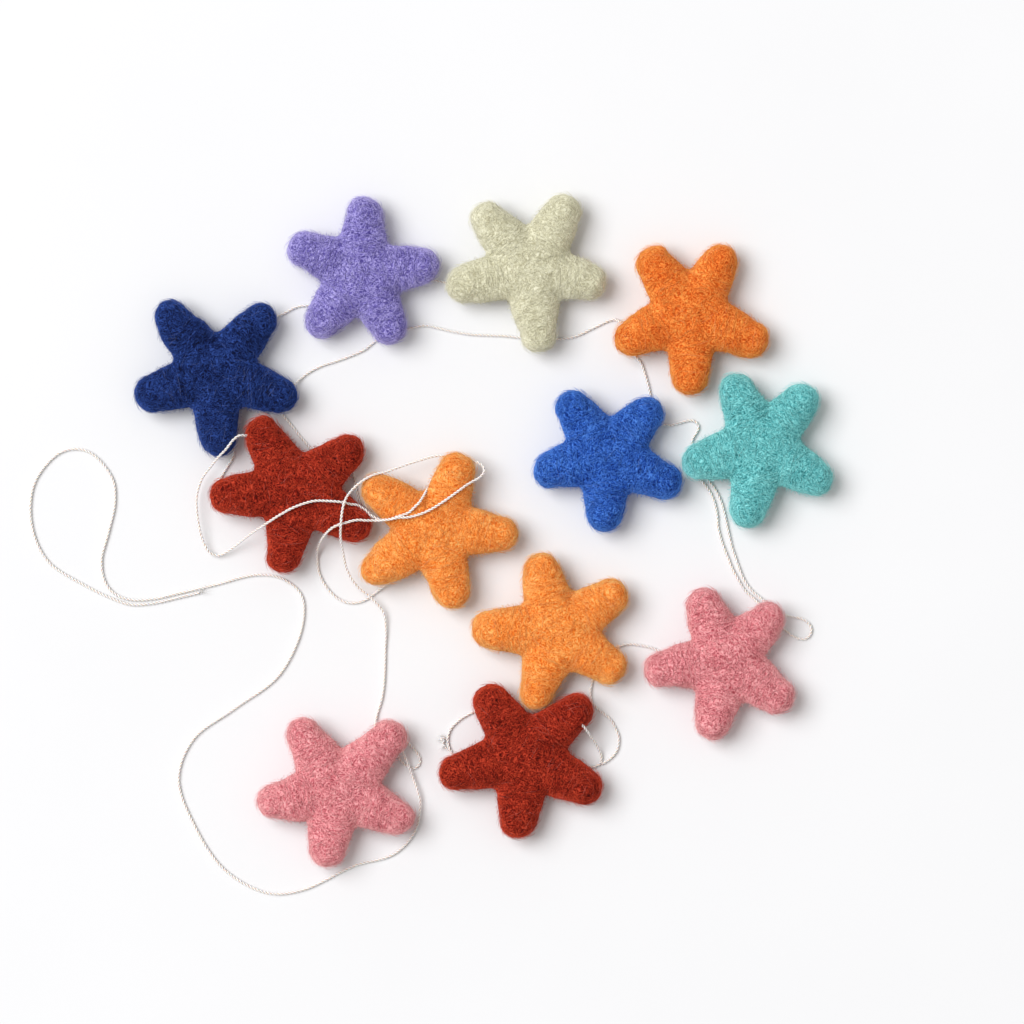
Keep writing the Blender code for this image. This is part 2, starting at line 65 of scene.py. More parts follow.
# Sizes of a star's wool: as in the solids, with a sharper angle between two arms
MID_HEIGHT = 0.0080
ARM_ROOT_RADIUS = 0.0103
ARM_TIP_RADIUS = 0.0070
ARM_TAPER = 2.1  # the higher, the further along the arm it keeps the root's width
BLEND = 0.0008  # how wide the soft corner between two arms is
BODY_FLATNESS = 0.63  # height as a share of width, in the middle of the star
TIP_FLATNESS = 0.80  # and from FLATNESS_REACH on
FLATNESS_REACH = 0.030
TIP_RISE = 0.0004  # how much higher an arm's axis ends than it starts
STAR_SPAN = 0.042  # no wool lies further than this from the middle of its star
EXPONENT_TOP = 60.0  # this and LEAST_TOTAL keep the blend's sums within what a number can hold
LEAST_TOTAL = 1e-30
SLOPE_STEP = 0.00005

# The felt's own relief
MESH_STEP = 0.0013  # side of a little square of the star's mesh
SAME_PLACE = 0.00001  # corners of a solid that are nearer than this are one
FIT_STEPS = 5  # moves that bring the little squares to the wool's surface
SKIN = -0.0001  # the relief's middle height over the solid's surface: just inside it
LUMPS = ((0.0110, 0.00042), (0.0050, 0.00025))  # each row: how far apart, how high
LUMP_SHIFT = Vector((3.7, 1.9, 0.0))  # from the pattern of one row to that of the next
PRESSED = 0.0004  # wool below this is flat on the table
FREE = 0.0016  # and above this it keeps its own shape

# How the wool changes where it turns away from straight up: fewer fibres underneath, and painted paler on the
# steep sides, which stands for light on the rim
RIM_LIGHT_BELOW = 0.90  # painted paler, as light falling on the rim, where the upright part of its outward way is less than this
RIM_LIGHT_OVER = 0.60  # and most so where it is less by this
PAINTED_RIM_LIGHT_FELT = 0.16  # how much paler that painted rim light makes the felt
PAINTED_RIM_LIGHT_FIBRES = 0.30  # and how much its fibres
GROWTH_BELOW = 0.1  # how many fibres grow on the underside, as a share of those on top

# The lay of the fibres along an arm's axis, as shares of it
LAY_MIDDLE = 0.25  # nearer the star's middle they lie any way
LAY_TIP = 0.75  # from there to here round the arm, and from here on along the outline
LAY_CHANGE = 0.3  # how much of the axis each change takes

# Fibres on a star, in layers. Each row: its share of the fibres, points on one, length, radius, height of the
# free end, tone, and how much more of them grow at the sides than on top
FIBRES_A_MM2 = 1.38
Layer = namedtuple("Layer", "share points length radius lift tone sides")
LAYERS = (
    Layer(0.57, 4, (0.0013, 0.0036), (0.000055, 0.0001), (0.00002, 0.00020), (0.0, 1.0), 0.0),
    Layer(0.30, 4, (0.0026, 0.0060), (0.000035, 0.00006), (0.0003, 0.0019), (0.0, 1.0), 1.6),
    Layer(0.05, 8, (0.0050, 0.0110), (0.000025, 0.000045), (0.0001, 0.0008), (0.8, 1.35), 0.5),
)
FIBRE_SIDES = 3
FIBRE_JOIN = 0.000002  # points of a fibre's ends that are nearer than this are one
FIBRE_SEAT = 0.4  # height of a fibre's middle line over the wool, in its radii
CURL = 0.0008  # how far a fibre strays from a straight line
CURL_STEP = 0.0018
CURL_APART = 7.0  # how differently two fibres of different tones curl
SWIRL = 1.3  # how far slow swirls turn the lay
SWIRL_STEP = 0.0070  # distance over which the fibres change their direction
STRAY = 0.35  # how far each fibre turns from its neighbours
LAYER_SEED = 100.0  # from the seed of one layer to that of the next
LENGTH_SEED, TONE_SEED, RADIUS_SEED, LIFT_SEED = 2.0, 3.0, 4.0, 5.0
FIBRE_INPUTS = (
    ("Fibres a square metre", "NodeSocketFloat"),
    ("Swirl", "NodeSocketFloat"),
    ("Curl", "NodeSocketFloat"),
    ("Seed", "NodeSocketInt"),
    ("Wool", "NodeSocketMaterial"),
)

# Cord
CORD_DIAMETER = 0.0012
CORD_LIE = 0.00065  # height of its middle line where it lies on the table
CORD_RING_STEP = 0.00028
CORD_SIDES = 8
PLY_RADIUS = 0.00033
PLY_OFFSET = 0.00027
TWIST_STEP = 0.0015  # length in which a ply goes from one side of the cord to the other
CORD_CLEARANCE = 0.00012  # between the cord and the wool that it lies on
CORD_ENTRY = 0.0025  # length over which it comes away from the wool that it leaves
CLEAR_STEPS = 6  # moves that bring it out of the wool
SMOOTH_STEPS = 12  # points on the curve from one place of a route to the next

# Knot beside the cord
KNOT_CORD = "cord_rust_bottom_left"
KNOT_MIDDLE = (-0.0160, -0.0816, 0.00125)
KNOT_HALF_SIZES = (0.00062, 0.00115, 0.00050)  # of the middle line of its turns
KNOT_STEPS = 60
KNOT_THICKNESS = 0.72  # of its cord, as a share of the ordinary cord
KNOT_TAIL = (
    (-0.0160, -0.0830, 0.0008), (-0.0154, -0.0842, 0.0006),
    (-0.0147, -0.0851, 0.0006), (-0.0139, -0.0859, 0.0009),
)
TAIL_THICKNESS = 0.55

# Loose cotton fibres where the cord is cut
FRAY_COUNT = 26
FRAY_LENGTH = (0.0008, 0.0026)
FRAY_RADIUS = 0.00007
FRAY_TAPER = 0.8  # how much thinner a fibre is at its free end
FRAY_SPREAD = 0.55  # how far the fibres fan out
FRAY_BEND = 0.275  # how far a fibre leaves its first way, as a share of its length
FRAY_ROOT = 0.00014  # how far apart the fibres start
FRAY_POINTS = 4
FRAY_SIDES = 3
FRAY_LOWEST = 0.00002
KNOT_FRAYS = (  # each row: where the fibres start, and which way they point
    ((-0.0163, -0.0807, 0.00125), (-0.5, 0.8, -0.2)),
    ((-0.0165, -0.0820, 0.00095), (-0.9, -0.4, -0.3)),
    ((-0.0154, -0.0842, 0.0006), (-0.5, -0.8, 0.1)),
)
KNOT_FRAY_SEED = 11
END_FRAY_SEED = 5
END_FRAY_LEAN = (0.2, 0.3, 0.0)  # from straight on
END_FRAY_SIZE = 1.7  # as a share of the ordinary fray

MILLIMETRES = 1000.0  # in a metre
NOISE_MIDDLE = (0.5, 0.5, 0.5)  # the colour that noise varies about
BLEACHED = 0.84  # how much of its own colour a pale hair keeps
Wool = namedtuple("Wool", "middle light dark")
WOOL = {
    "navy": Wool("#051444", "#3554A2", "#000113"),
    "purple": Wool("#6E63AE", "#C1B8EE", "#3E3478"),
    "sage": Wool("#CCC9AB", "#EBE8D1", "#A69F81"),
    "orange": Wool("#E46C22", "#F7AB57", "#AE3706"),
    "royal": Wool("#1946A3", "#578FE4", "#03144D"),
    "turquoise": Wool("#58AFB2", "#99E4E2", "#1F676A"),
    "light_orange": Wool("#F18630", "#F8C073", "#C8520E"),
    "rust": Wool("#7D1407", "#CF4A2F", "#260000"),
    "pink": Wool("#D87A82", "#F8BBBB", "#953540"),
}

Star = namedtuple("Star", "node colour x y arms")
Arm = namedtuple("Arm", "bearing reach")
Strand = namedtuple("Strand", "node far_end route")


def star(node, colour, x, y, *arms):
    return Star(node, colour, x, y, [Arm(*arm) for arm in arms])


def strand(node, *places, far_end="object"):
    """A place of two numbers lies on the table, and a third number lifts it."""
    return Strand(node, far_end, [Vector((*place, CORD_LIE)[:3]) for place in places])


# Each star: its node, its wool, where its middle lies, and for each arm its bearing in degrees and its reach
STARS = (
    star("star_navy", "navy", -0.1047, 0.0613,
         (50, 0.0335), (128, 0.0341), (198, 0.0324), (273, 0.0325), (341, 0.0332)),
    star("star_purple", "purple", -0.0477, 0.1007,
         (6, 0.0306), (87, 0.0295), (158, 0.0305), (231, 0.0309), (297, 0.0308)),
    star("star_sage", "sage", 0.0183, 0.1022,
         (60, 0.0323), (131, 0.0323), (194, 0.0343), (276, 0.0332), (347, 0.0301)),
    star("star_orange", "orange", 0.0803, 0.0846,
         (59, 0.0297), (126, 0.0308), (203, 0.0319), (270, 0.0318), (337, 0.0328)),
    star("star_royal", "royal", 0.0481, 0.0293,
         (48, 0.0289), (126, 0.0298), (194, 0.0296), (267, 0.0298), (335, 0.0311)),
    star("star_turquoise", "turquoise", 0.1084, 0.0328,
         (49, 0.0304), (115, 0.0306), (193, 0.0320), (258, 0.0325), (329, 0.0312)),
    star("star_light_orange_left", "light_orange", -0.0191, 0.0006,
         (69, 0.0312), (146, 0.0333), (215, 0.0337), (285, 0.0321), (356, 0.0328)),
    star("star_light_orange_mid", "light_orange", 0.0288, -0.0390,
         (33, 0.0315), (106, 0.0313), (179, 0.0339), (251, 0.0320), (325, 0.0313)),
    star("star_rust_left", "rust", -0.0734, 0.0155,
         (36, 0.0321), (120, 0.0328), (184, 0.0340), (260, 0.0326), (330, 0.0330)),
    star("star_rust_bottom", "rust", 0.0157, -0.0871,
         (40, 0.0332), (122, 0.0314), (195, 0.0341), (265, 0.0330), (331, 0.0338)),
    star("star_pink_right", "pink", 0.0941, -0.0509,
         (45, 0.0296), (112, 0.0304), (187, 0.0319), (259, 0.0312), (326, 0.0310)),
    star("star_pink_left", "pink", -0.0565, -0.1015,
         (47, 0.0356), (123, 0.0326), (189, 0.0325), (258, 0.0301), (335, 0.0314)),
)

# Each stretch of the cord: its node, then the places that it passes through
STRANDS = (
    strand("cord_end_loop",
           (-0.1111, -0.0243), (-0.1201, -0.0264), (-0.1291, -0.0284), (-0.1381, -0.0289),
           (-0.1447, -0.0268), (-0.1556, -0.0216), (-0.1704, -0.0119), (-0.1767, 0.0025),
           (-0.1755, 0.0185), (-0.1665, 0.0298), (-0.1595, 0.0318), (-0.1529, 0.0298),
           (-0.1451, 0.0201), (-0.1441, 0.0111), (-0.1466, -0.0006), (-0.1494, -0.0119),
           (-0.1478, -0.0205), (-0.1435, -0.0252), (-0.1381, -0.0270), (-0.1291, -0.0267),
           (-0.1201, -0.0247), (-0.1053, -0.0213), (-0.0893, -0.0174), (-0.0792, -0.0187),
           (-0.0714, -0.0252), (-0.0710, -0.0372), (-0.0800, -0.0564), (-0.0975, -0.0696),
           (-0.1135, -0.0815), (-0.1193, -0.0969), (-0.1131, -0.1152), (-0.1014, -0.1324),
           (-0.0850, -0.1414), (-0.0718, -0.1406), (-0.0503, -0.1308), (-0.0351, -0.1262),
           (-0.0269, -0.1172, 0.0012), (-0.0250, -0.1059, 0.0020), (-0.0281, -0.0957, 0.0022),
           (-0.0293, -0.0922, 0.0027), (-0.0339, -0.0809, 0.0060), far_end="bare"),
    strand("cord_pink_left_loop",
           (-0.0413, -0.0809, 0.0046), (-0.0382, -0.0837, 0.0015), (-0.0351, -0.0868, 0.0008),
           (-0.0324, -0.0899), (-0.0300, -0.0922), (-0.0277, -0.0930), (-0.0257, -0.0918),
           (-0.0250, -0.0899), (-0.0257, -0.0876), (-0.0277, -0.0850, 0.0009),
           (-0.0300, -0.0825, 0.0026), (-0.0331, -0.0794, 0.0060)),
    strand("cord_pink_left_to_light_orange",
           (-0.0425, -0.0805, 0.0060), (-0.0425, -0.0766, 0.0030), (-0.0421, -0.0731, 0.0009),
           (-0.0398, -0.0649), (-0.0390, -0.0583), (-0.0386, -0.0466), (-0.0384, -0.0380, 0.0012),
           (-0.0394, -0.0318, 0.0022), (-0.0441, -0.0263, 0.0036), (-0.0499, -0.0213, 0.0050),
           (-0.0534, -0.0154, 0.0070), (-0.0550, -0.0080, 0.0109), (-0.0558, -0.0029, 0.0142),
           (-0.0556, 0.0029, 0.0172), (-0.0550, 0.0080, 0.0169), (-0.0542, 0.0111, 0.0162),
           (-0.0523, 0.0146, 0.0137), (-0.0484, 0.0185, 0.0126), (-0.0433, 0.0215, 0.0118),
           (-0.0382, 0.0228, 0.0102), (-0.0328, 0.0248, 0.0088), (-0.0246, 0.0275, 0.0082),
           (-0.0179, 0.0291, 0.0078), (-0.0113, 0.0275, 0.0075)),
    strand("cord_navy_over_rust",
           (-0.0885, 0.0369, 0.0090), (-0.0924, 0.0369, 0.0104), (-0.0952, 0.0369, 0.0120),
           (-0.0975, 0.0353, 0.0130), (-0.0991, 0.0333, 0.0134), (-0.1006, 0.0314, 0.0131),
           (-0.1022, 0.0298, 0.0126), (-0.1037, 0.0283, 0.0116), (-0.1069, 0.0244, 0.0086),
           (-0.1100, 0.0201, 0.0064), (-0.1119, 0.0142, 0.0052), (-0.1121, 0.0092, 0.0048),
           (-0.1108, -0.0002, 0.0040), (-0.1088, -0.0060, 0.0028), (-0.1065, -0.0090, 0.0020),
           (-0.1037, -0.0097, 0.0018), (-0.1002, -0.0082, 0.0026), (-0.0967, -0.0057, 0.0040),
           (-0.0917, -0.0018, 0.0078), (-0.0862, 0.0018, 0.0132), (-0.0835, 0.0035, 0.0152),
           (-0.0807, 0.0053, 0.0164), (-0.0784, 0.0066, 0.0166), (-0.0757, 0.0082, 0.0167),
           (-0.0706, 0.0103, 0.0167), (-0.0659, 0.0115, 0.0165), (-0.0612, 0.0115, 0.0157),
           (-0.0558, 0.0111, 0.0150), (-0.0523, 0.0103, 0.0132), (-0.0484, 0.0092, 0.0107),
           (-0.0441, 0.0060, 0.0102), (-0.0406, 0.0043, 0.0106), (-0.0374, 0.0043, 0.0136),
           (-0.0351, 0.0049, 0.0150), (-0.0328, 0.0057, 0.0151), (-0.0293, 0.0070, 0.0159),
           (-0.0265, 0.0096, 0.0163), (-0.0250, 0.0111, 0.0165), (-0.0234, 0.0135, 0.0145),
           (-0.0218, 0.0166, 0.0107), (-0.0195, 0.0209, 0.0068), (-0.0144, 0.0244, 0.0065)),
    strand("cord_light_orange_over_rust",
           (-0.0055, 0.0271, 0.0080), (-0.0025, 0.0265, 0.0084), (-0.0004, 0.0250, 0.0090),
           (0.0000, 0.0228, 0.0098), (-0.0016, 0.0207, 0.0110), (-0.0043, 0.0191, 0.0125),
           (-0.0070, 0.0175, 0.0142), (-0.0121, 0.0138, 0.0157), (-0.0172, 0.0103, 0.0162),
           (-0.0218, 0.0076, 0.0166), (-0.0269, 0.0057, 0.0165), (-0.0300, 0.0051, 0.0167),
           (-0.0328, 0.0051, 0.0167), (-0.0351, 0.0047, 0.0167), (-0.0374, 0.0043, 0.0155),
           (-0.0421, 0.0039, 0.0128), (-0.0460, 0.0039, 0.0138), (-0.0484, 0.0041, 0.0142),
           (-0.0515, 0.0037, 0.0152), (-0.0542, 0.0029, 0.0153), (-0.0569, 0.0021, 0.0154),
           (-0.0597, 0.0006, 0.0150), (-0.0632, -0.0033, 0.0082), (-0.0651, -0.0076, 0.0034),
           (-0.0651, -0.0115, 0.0010), (-0.0644, -0.0166), (-0.0624, -0.0209), (-0.0593, -0.0248),
           (-0.0554, -0.0275), (-0.0507, -0.0283), (-0.0464, -0.0271), (-0.0425, -0.0244),
           (-0.0390, -0.0216, 0.0024), (-0.0355, -0.0191, 0.0060), (-0.0324, -0.0170, 0.0090)),
    strand("cord_navy_to_rust_top",
           (-0.0827, 0.0517, 0.0044), (-0.0800, 0.0474, 0.0014), (-0.0776, 0.0439, 0.0008),
           (-0.0757, 0.0417), (-0.0722, 0.0372), (-0.0683, 0.0326), (-0.0663, 0.0298, 0.0008),
           (-0.0640, 0.0259, 0.0040)),
    strand("cord_navy_to_rust_side",
           (-0.1002, 0.0376, 0.0046), (-0.0983, 0.0333, 0.0013), (-0.0975, 0.0302), (-0.0987, 0.0271),
           (-0.0998, 0.0255), (-0.1022, 0.0216), (-0.1035, 0.0185), (-0.1026, 0.0154),
           (-0.0998, 0.0138, 0.0009), (-0.0955, 0.0131, 0.0044)),
    strand("cord_navy_to_purple",
           (-0.0885, 0.0794, 0.0044), (-0.0846, 0.0817, 0.0011), (-0.0803, 0.0837), (-0.0772, 0.0852),
           (-0.0733, 0.0872), (-0.0686, 0.0879), (-0.0640, 0.0887), (-0.0601, 0.0899, 0.0010),
           (-0.0562, 0.0915, 0.0042)),
    strand("cord_navy_to_orange",
           (-0.0768, 0.0544, 0.0056), (-0.0741, 0.0569, 0.0025), (-0.0718, 0.0591, 0.0009),
           (-0.0683, 0.0618), (-0.0636, 0.0642), (-0.0577, 0.0661), (-0.0523, 0.0681),
           (-0.0464, 0.0708), (-0.0425, 0.0739), (-0.0363, 0.0770), (-0.0293, 0.0788),
           (-0.0230, 0.0800), (-0.0172, 0.0788), (-0.0129, 0.0778), (-0.0055, 0.0766), (0.0016, 0.0762),
           (0.0082, 0.0759), (0.0199, 0.0747), (0.0277, 0.0747), (0.0320, 0.0749), (0.0363, 0.0760),
           (0.0417, 0.0786), (0.0456, 0.0805), (0.0488, 0.0819), (0.0513, 0.0823, 0.0009),
           (0.0534, 0.0811, 0.0024), (0.0569, 0.0778, 0.0060)),
    strand("cord_purple_to_sage",
           (-0.0293, 0.1020, 0.0046), (-0.0257, 0.1004, 0.0011), (-0.0218, 0.0985), (-0.0168, 0.0971),
           (-0.0113, 0.0965), (-0.0062, 0.0961), (-0.0027, 0.0959, 0.0011), (0.0012, 0.0961, 0.0046)),
    strand("cord_orange_to_royal",
           (0.0546, 0.0751, 0.0046), (0.0569, 0.0712, 0.0012), (0.0593, 0.0677), (0.0612, 0.0653),
           (0.0624, 0.0622), (0.0640, 0.0567), (0.0647, 0.0532), (0.0655, 0.0493, 0.0011),
           (0.0667, 0.0450, 0.0046)),
    strand("cord_royal_to_turquoise",
           (0.0640, 0.0439, 0.0046), (0.0675, 0.0419, 0.0012), (0.0702, 0.0413), (0.0729, 0.0411),
           (0.0764, 0.0420), (0.0788, 0.0427), (0.0811, 0.0429), (0.0831, 0.0418), (0.0837, 0.0400),
           (0.0828, 0.0380), (0.0815, 0.0359), (0.0811, 0.0337), (0.0823, 0.0308, 0.0008),
           (0.0842, 0.0285, 0.0013), (0.0870, 0.0267, 0.0046)),
    strand("cord_turquoise_to_pink_outer",
           (0.0815, 0.0244, 0.0056), (0.0846, 0.0197, 0.0016), (0.0877, 0.0158), (0.0897, 0.0115),
           (0.0909, 0.0064), (0.0913, 0.0014), (0.0928, -0.0045), (0.0952, -0.0107), (0.0971, -0.0154),
           (0.0989, -0.0187), (0.1014, -0.0230), (0.1049, -0.0263, 0.0008), (0.1080, -0.0293, 0.0024),
           (0.1108, -0.0322, 0.0060)),
    strand("cord_turquoise_to_pink_inner",
           (0.0842, 0.0244, 0.0056), (0.0870, 0.0201, 0.0016), (0.0901, 0.0162), (0.0924, 0.0115),
           (0.0936, 0.0076), (0.0952, 0.0002), (0.0967, -0.0064), (0.0983, -0.0111), (0.0998, -0.0154),
           (0.1016, -0.0195), (0.1039, -0.0228), (0.1080, -0.0265, 0.0009), (0.1104, -0.0285, 0.0026),
           (0.1131, -0.0310, 0.0065)),
    strand("cord_pink_right_loop",
           (0.1139, -0.0322, 0.0060), (0.1170, -0.0330, 0.0030), (0.1197, -0.0335, 0.0012),
           (0.1227, -0.0341), (0.1256, -0.0353), (0.1275, -0.0376), (0.1275, -0.0402),
           (0.1258, -0.0421), (0.1230, -0.0423), (0.1197, -0.0406), (0.1166, -0.0382),
           (0.1127, -0.0357, 0.0009), (0.1084, -0.0333, 0.0046)),
    strand("cord_pink_to_light_orange",
           (0.0753, -0.0517, 0.0046), (0.0718, -0.0493, 0.0011), (0.0690, -0.0476), (0.0663, -0.0462),
           (0.0620, -0.0450), (0.0566, -0.0443), (0.0534, -0.0450), (0.0503, -0.0462),
           (0.0472, -0.0474, 0.0011), (0.0433, -0.0482, 0.0046)),
    strand("cord_light_orange_to_rust",
           (0.0429, -0.0513, 0.0046), (0.0425, -0.0560, 0.0011), (0.0421, -0.0595), (0.0415, -0.0626),
           (0.0417, -0.0657), (0.0433, -0.0686), (0.0468, -0.0716), (0.0491, -0.0735),
           (0.0507, -0.0762), (0.0523, -0.0798), (0.0525, -0.0829), (0.0515, -0.0864),
           (0.0491, -0.0891), (0.0473, -0.0904), (0.0459, -0.0912)),
    strand("cord_rust_bottom_right",
           (0.0363, -0.0723, 0.0085), (0.0382, -0.0755, 0.0119), (0.0402, -0.0782, 0.0100),
           (0.0419, -0.0807, 0.0070), (0.0437, -0.0835, 0.0040), (0.0450, -0.0860, 0.0020),
           (0.0458, -0.0885, 0.0009), (0.0454, -0.0907), (0.0435, -0.0920), (0.0408, -0.0922),
           (0.0371, -0.0918, 0.0009), (0.0324, -0.0926, 0.0046)),
    strand("cord_rust_bottom_left",
           (0.0039, -0.0681, 0.0046), (0.0000, -0.0694, 0.0011), (-0.0035, -0.0706), (-0.0078, -0.0727),
           (-0.0105, -0.0747), (-0.0131, -0.0776), (-0.0142, -0.0813), (-0.0137, -0.0848),
           (-0.0121, -0.0876), (-0.0097, -0.0899, 0.0010), (-0.0062, -0.0918, 0.0046)),
    strand("cord_rust_to_light_orange",
           (-0.0569, 0.0275, 0.0046), (-0.0534, 0.0248, 0.0012), (-0.0511, 0.0220), (-0.0503, 0.0185),
           (-0.0497, 0.0150), (-0.0488, 0.0119), (-0.0464, 0.0096), (-0.0437, 0.0080),
           (-0.0398, 0.0080, 0.0010), (-0.0351, 0.0096, 0.0046)),
)


def linear(code):
    """A colour written as sRGB hex, as linear light."""
    shares = [int(code[at : at + 2], 16) / 255 for at in (1, 3, 5)]
    return (*[s / 12.92 if s <= 0.04045 else ((s + 0.055) / 1.055) ** 2.4 for s in shares], 1)


def add(tree, kind, inputs=None, **settings):
    """A node with its settings. Each input is a value, or the socket that feeds it."""
    made = tree.nodes.new(kind)
    for name, value in settings.items():
        setattr(made, name, value)
    for name, value in (inputs or {}).items():
        socket = made.inputs[name] if isinstance(name, int) else live(made.inputs, name)
        if isinstance(value, bpy.types.NodeSocket):
            tree.links.new(value, socket)
        else:
            socket.default_value = value
    return made


def live(sockets, name):
    """The socket of this name that the node's settings have switched on."""
    return next(socket for socket in sockets if socket.name == name and socket.enabled)


def out(node, name):
    return live(node.outputs, name)


def math_node(tree, operation, first, second, clamp=False):
    made = add(tree, "ShaderNodeMath", {0: first, 1: second}, operation=operation, use_clamp=clamp)
    return out(made, "Value")


def vector_node(tree, operation, first, second):
    return out(add(tree, "ShaderNodeVectorMath", {0: first, 1: second}, operation=operation), "Vector")


def scaled(tree, vector, share):
    return out(add(tree, "ShaderNodeVectorMath", {0: vector, "Scale": share}, operation="SCALE"), "Vector")


def weighted(tree, *terms):
    """The sum of some values, each times its weight."""
    total = 0.0
    for value, weight in terms:
        values = {0: value, 1: weight, 2: total}
        total = out(add(tree, "ShaderNodeMath", values, operation="MULTIPLY_ADD"), "Value")
    return total


def attribute(tree, name, part):
    """What the mesh stores under this name, for a material."""
    return out(add(tree, "ShaderNodeAttribute", attribute_name=name), part)


def tones(tree, tone, places):
    """The tone as a colour, from rows of a tone and its colour."""
    ramp = add(tree, "ShaderNodeValToRGB", {"Fac": tone})
    while len(ramp.color_ramp.elements) < len(places):
        ramp.color_ramp.elements.new(0.5)
    for element, (position, colour) in zip(ramp.color_ramp.elements, places):
        element.position = position
        element.color = colour
    return out(ramp, "Color")


def new_material(name, settings):
    """A material, its tree, and its shader with these settings."""
    material = bpy.data.materials.new(name)
    material.use_nodes = True
    shader = material.node_tree.nodes["Principled BSDF"]
    for socket, value in settings.items():
        shader.inputs[socket].default_value = value
    return material, material.node_tree, shader


def shown(name, mesh, material=None):
    thing = bpy.data.objects.new(name, mesh)
    bpy.context.collection.objects.link(thing)
    if material is not None:
        mesh.materials.append(material)
    return thing


def finished(name, mesh, material, node=None):
    """A piece of the garland, which may stand for a node."""
    piece = shown(name, mesh, material)
    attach(piece, "root")
    if node is not None:
        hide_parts(node)
    return piece


# The studio


def set_camera():
    data = bpy.data.cameras.new("camera")
    data.lens = data.sensor_width * CAMERA_DISTANCE / VIEW_WIDTH
    data.clip_end = CAMERA_SIGHT
    camera = bpy.data.objects.new("camera", data)
    camera.location = (*VIEW_MIDDLE, VIEW_LEVEL + CAMERA_DISTANCE)
    bpy.context.collection.objects.link(camera)
    bpy.context.scene.camera = camera


def set_light():
    scene = bpy.context.scene
    scene.view_settings.view_transform = "Standard"
    scene.world = bpy.data.worlds.new("white_room")
    scene.world.use_nodes = True
    background = scene.world.node_tree.nodes["Background"]
    background.inputs["Color"].default_value = linear(ROOM_COLOUR)
    background.inputs["Strength"].default_value = ROOM_STRENGTH
    data = bpy.data.lights.new("soft_lamp", "AREA")
    data.size = LAMP_SIDE
    data.energy = LAMP_POWER
    data.color = linear(LAMP_COLOUR)[:3]
    lamp = bpy.data.objects.new("soft_lamp", data)
    lamp.location = LAMP_PLACE
    lamp.rotation_euler = Vector(LAMP_PLACE).to_track_quat("Z", "Y").to_euler()
    bpy.context.collection.objects.link(lamp)


def set_floor():
    mesh = bpy.data.meshes.new("table_top")
    half = FLOOR_SIDE / 2
    corners = [(x * half, y * half, -FLOOR_DROP) for x, y in ((-1, -1), (1, -1), (1, 1), (-1, 1))]
    mesh.from_pydata(corners, [], [(0, 1, 2, 3)])
    shown("table_top", mesh, painted_board())


def painted_board():
    """White matt paint on board: nearly white, no gloss, a faint unevenness left by the roller."""
    material, tree, shader = new_material("painted_board", {"Roughness": 0.9, "Specular IOR Level": 0.2})
    place = out(add(tree, "ShaderNodeTexCoord"), "Object")
    tone = out(add(tree, "ShaderNodeTexNoise", {"Vector": place, "Scale": 9.0, "Detail": 3.0}), "Fac")
    paint = tones(tree, tone, ((0.0, linear("#E1E1E2")), (1.0, linear("#E5E5E6"))))
    tree.links.new(paint, shader.inputs["Base Color"])
    return material


# The wool's shape


def smoothstep(values):
    values = np.clip(values, 0, 1)
    return values * values * (3 - 2 * values)


def axis_ends(row):
    """Middle of the round tip of each arm, from the middle of the star."""
    ends = []
    for arm in row.arms:
        bearing = math.radians(arm.bearing)
        run = arm.reach - ARM_TIP_RADIUS
        ends.append(np.array((run * math.cos(bearing), run * math.sin(bearing), TIP_RISE)))
    return ends


def wool_depth(places, row):
    """Roughly how far places are outside a star's even shape, less than nothing where they are inside it."""
    places = places - np.array((row.x, row.y, MID_HEIGHT))
    share = smoothstep(np.hypot(places[:, 0], places[:, 1]) / FLATNESS_REACH)
    thick = BODY_FLATNESS + (TIP_FLATNESS - BODY_FLATNESS) * share
    total = np.zeros(len(places))
    for end in axis_ends(row):
        along = np.clip(places @ end / (end @ end), 0, 1)
        away = places - along[:, None] * end
        away[:, 2] /= thick
        radius = ARM_ROOT_RADIUS + (ARM_TIP_RADIUS - ARM_ROOT_RADIUS) * along**ARM_TAPER
        inside = (radius - np.linalg.norm(away, axis=1)) / BLEND
        total += np.exp(np.minimum(EXPONENT_TOP, inside))
    return -BLEND * np.log(np.maximum(total, LEAST_TOTAL))


def wool_slope(places, row):
    """The way out of the wool at each place, as long as the change of its depth over a metre."""
    parts = []
    for axis in np.eye(3) * SLOPE_STEP:
        parts.append((wool_depth(places + axis, row) - wool_depth(places - axis, row)) / (2 * SLOPE_STEP))
    return np.stack(parts, axis=1)


def lumps(places):
    """How much the felt's own relief stands over the even shape."""
    heights = np.full(len(places), SKIN)
    for number, (apart, high) in enumerate(LUMPS):
        shift = LUMP_SHIFT * number
        heights += [high * 2 * noise.noise(Vector(place) / apart + shift) for place in places]
    return heights


def even_mesh(node):
    """A copy of a node's solid, its surface divided in even little squares."""
    solid = bmesh.new()
    solid.from_mesh(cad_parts[node].data)
    bmesh.ops.remove_doubles(solid, verts=solid.verts, dist=SAME_PLACE)
    mesh = bpy.data.meshes.new(node + "_rough")
    solid.to_mesh(mesh)
    solid.free()
    thing = shown(node + "_rough", mesh)
    modifier = thing.modifiers.new("squares", "REMESH")
    modifier.mode = "VOXEL"
    modifier.voxel_size = MESH_STEP
    squares = bpy.data.meshes.new_from_object(thing.evaluated_get(bpy.context.evaluated_depsgraph_get()))
    bpy.data.objects.remove(thing)
    bpy.data.meshes.remove(mesh)
    squares.materials.clear()
    return squares


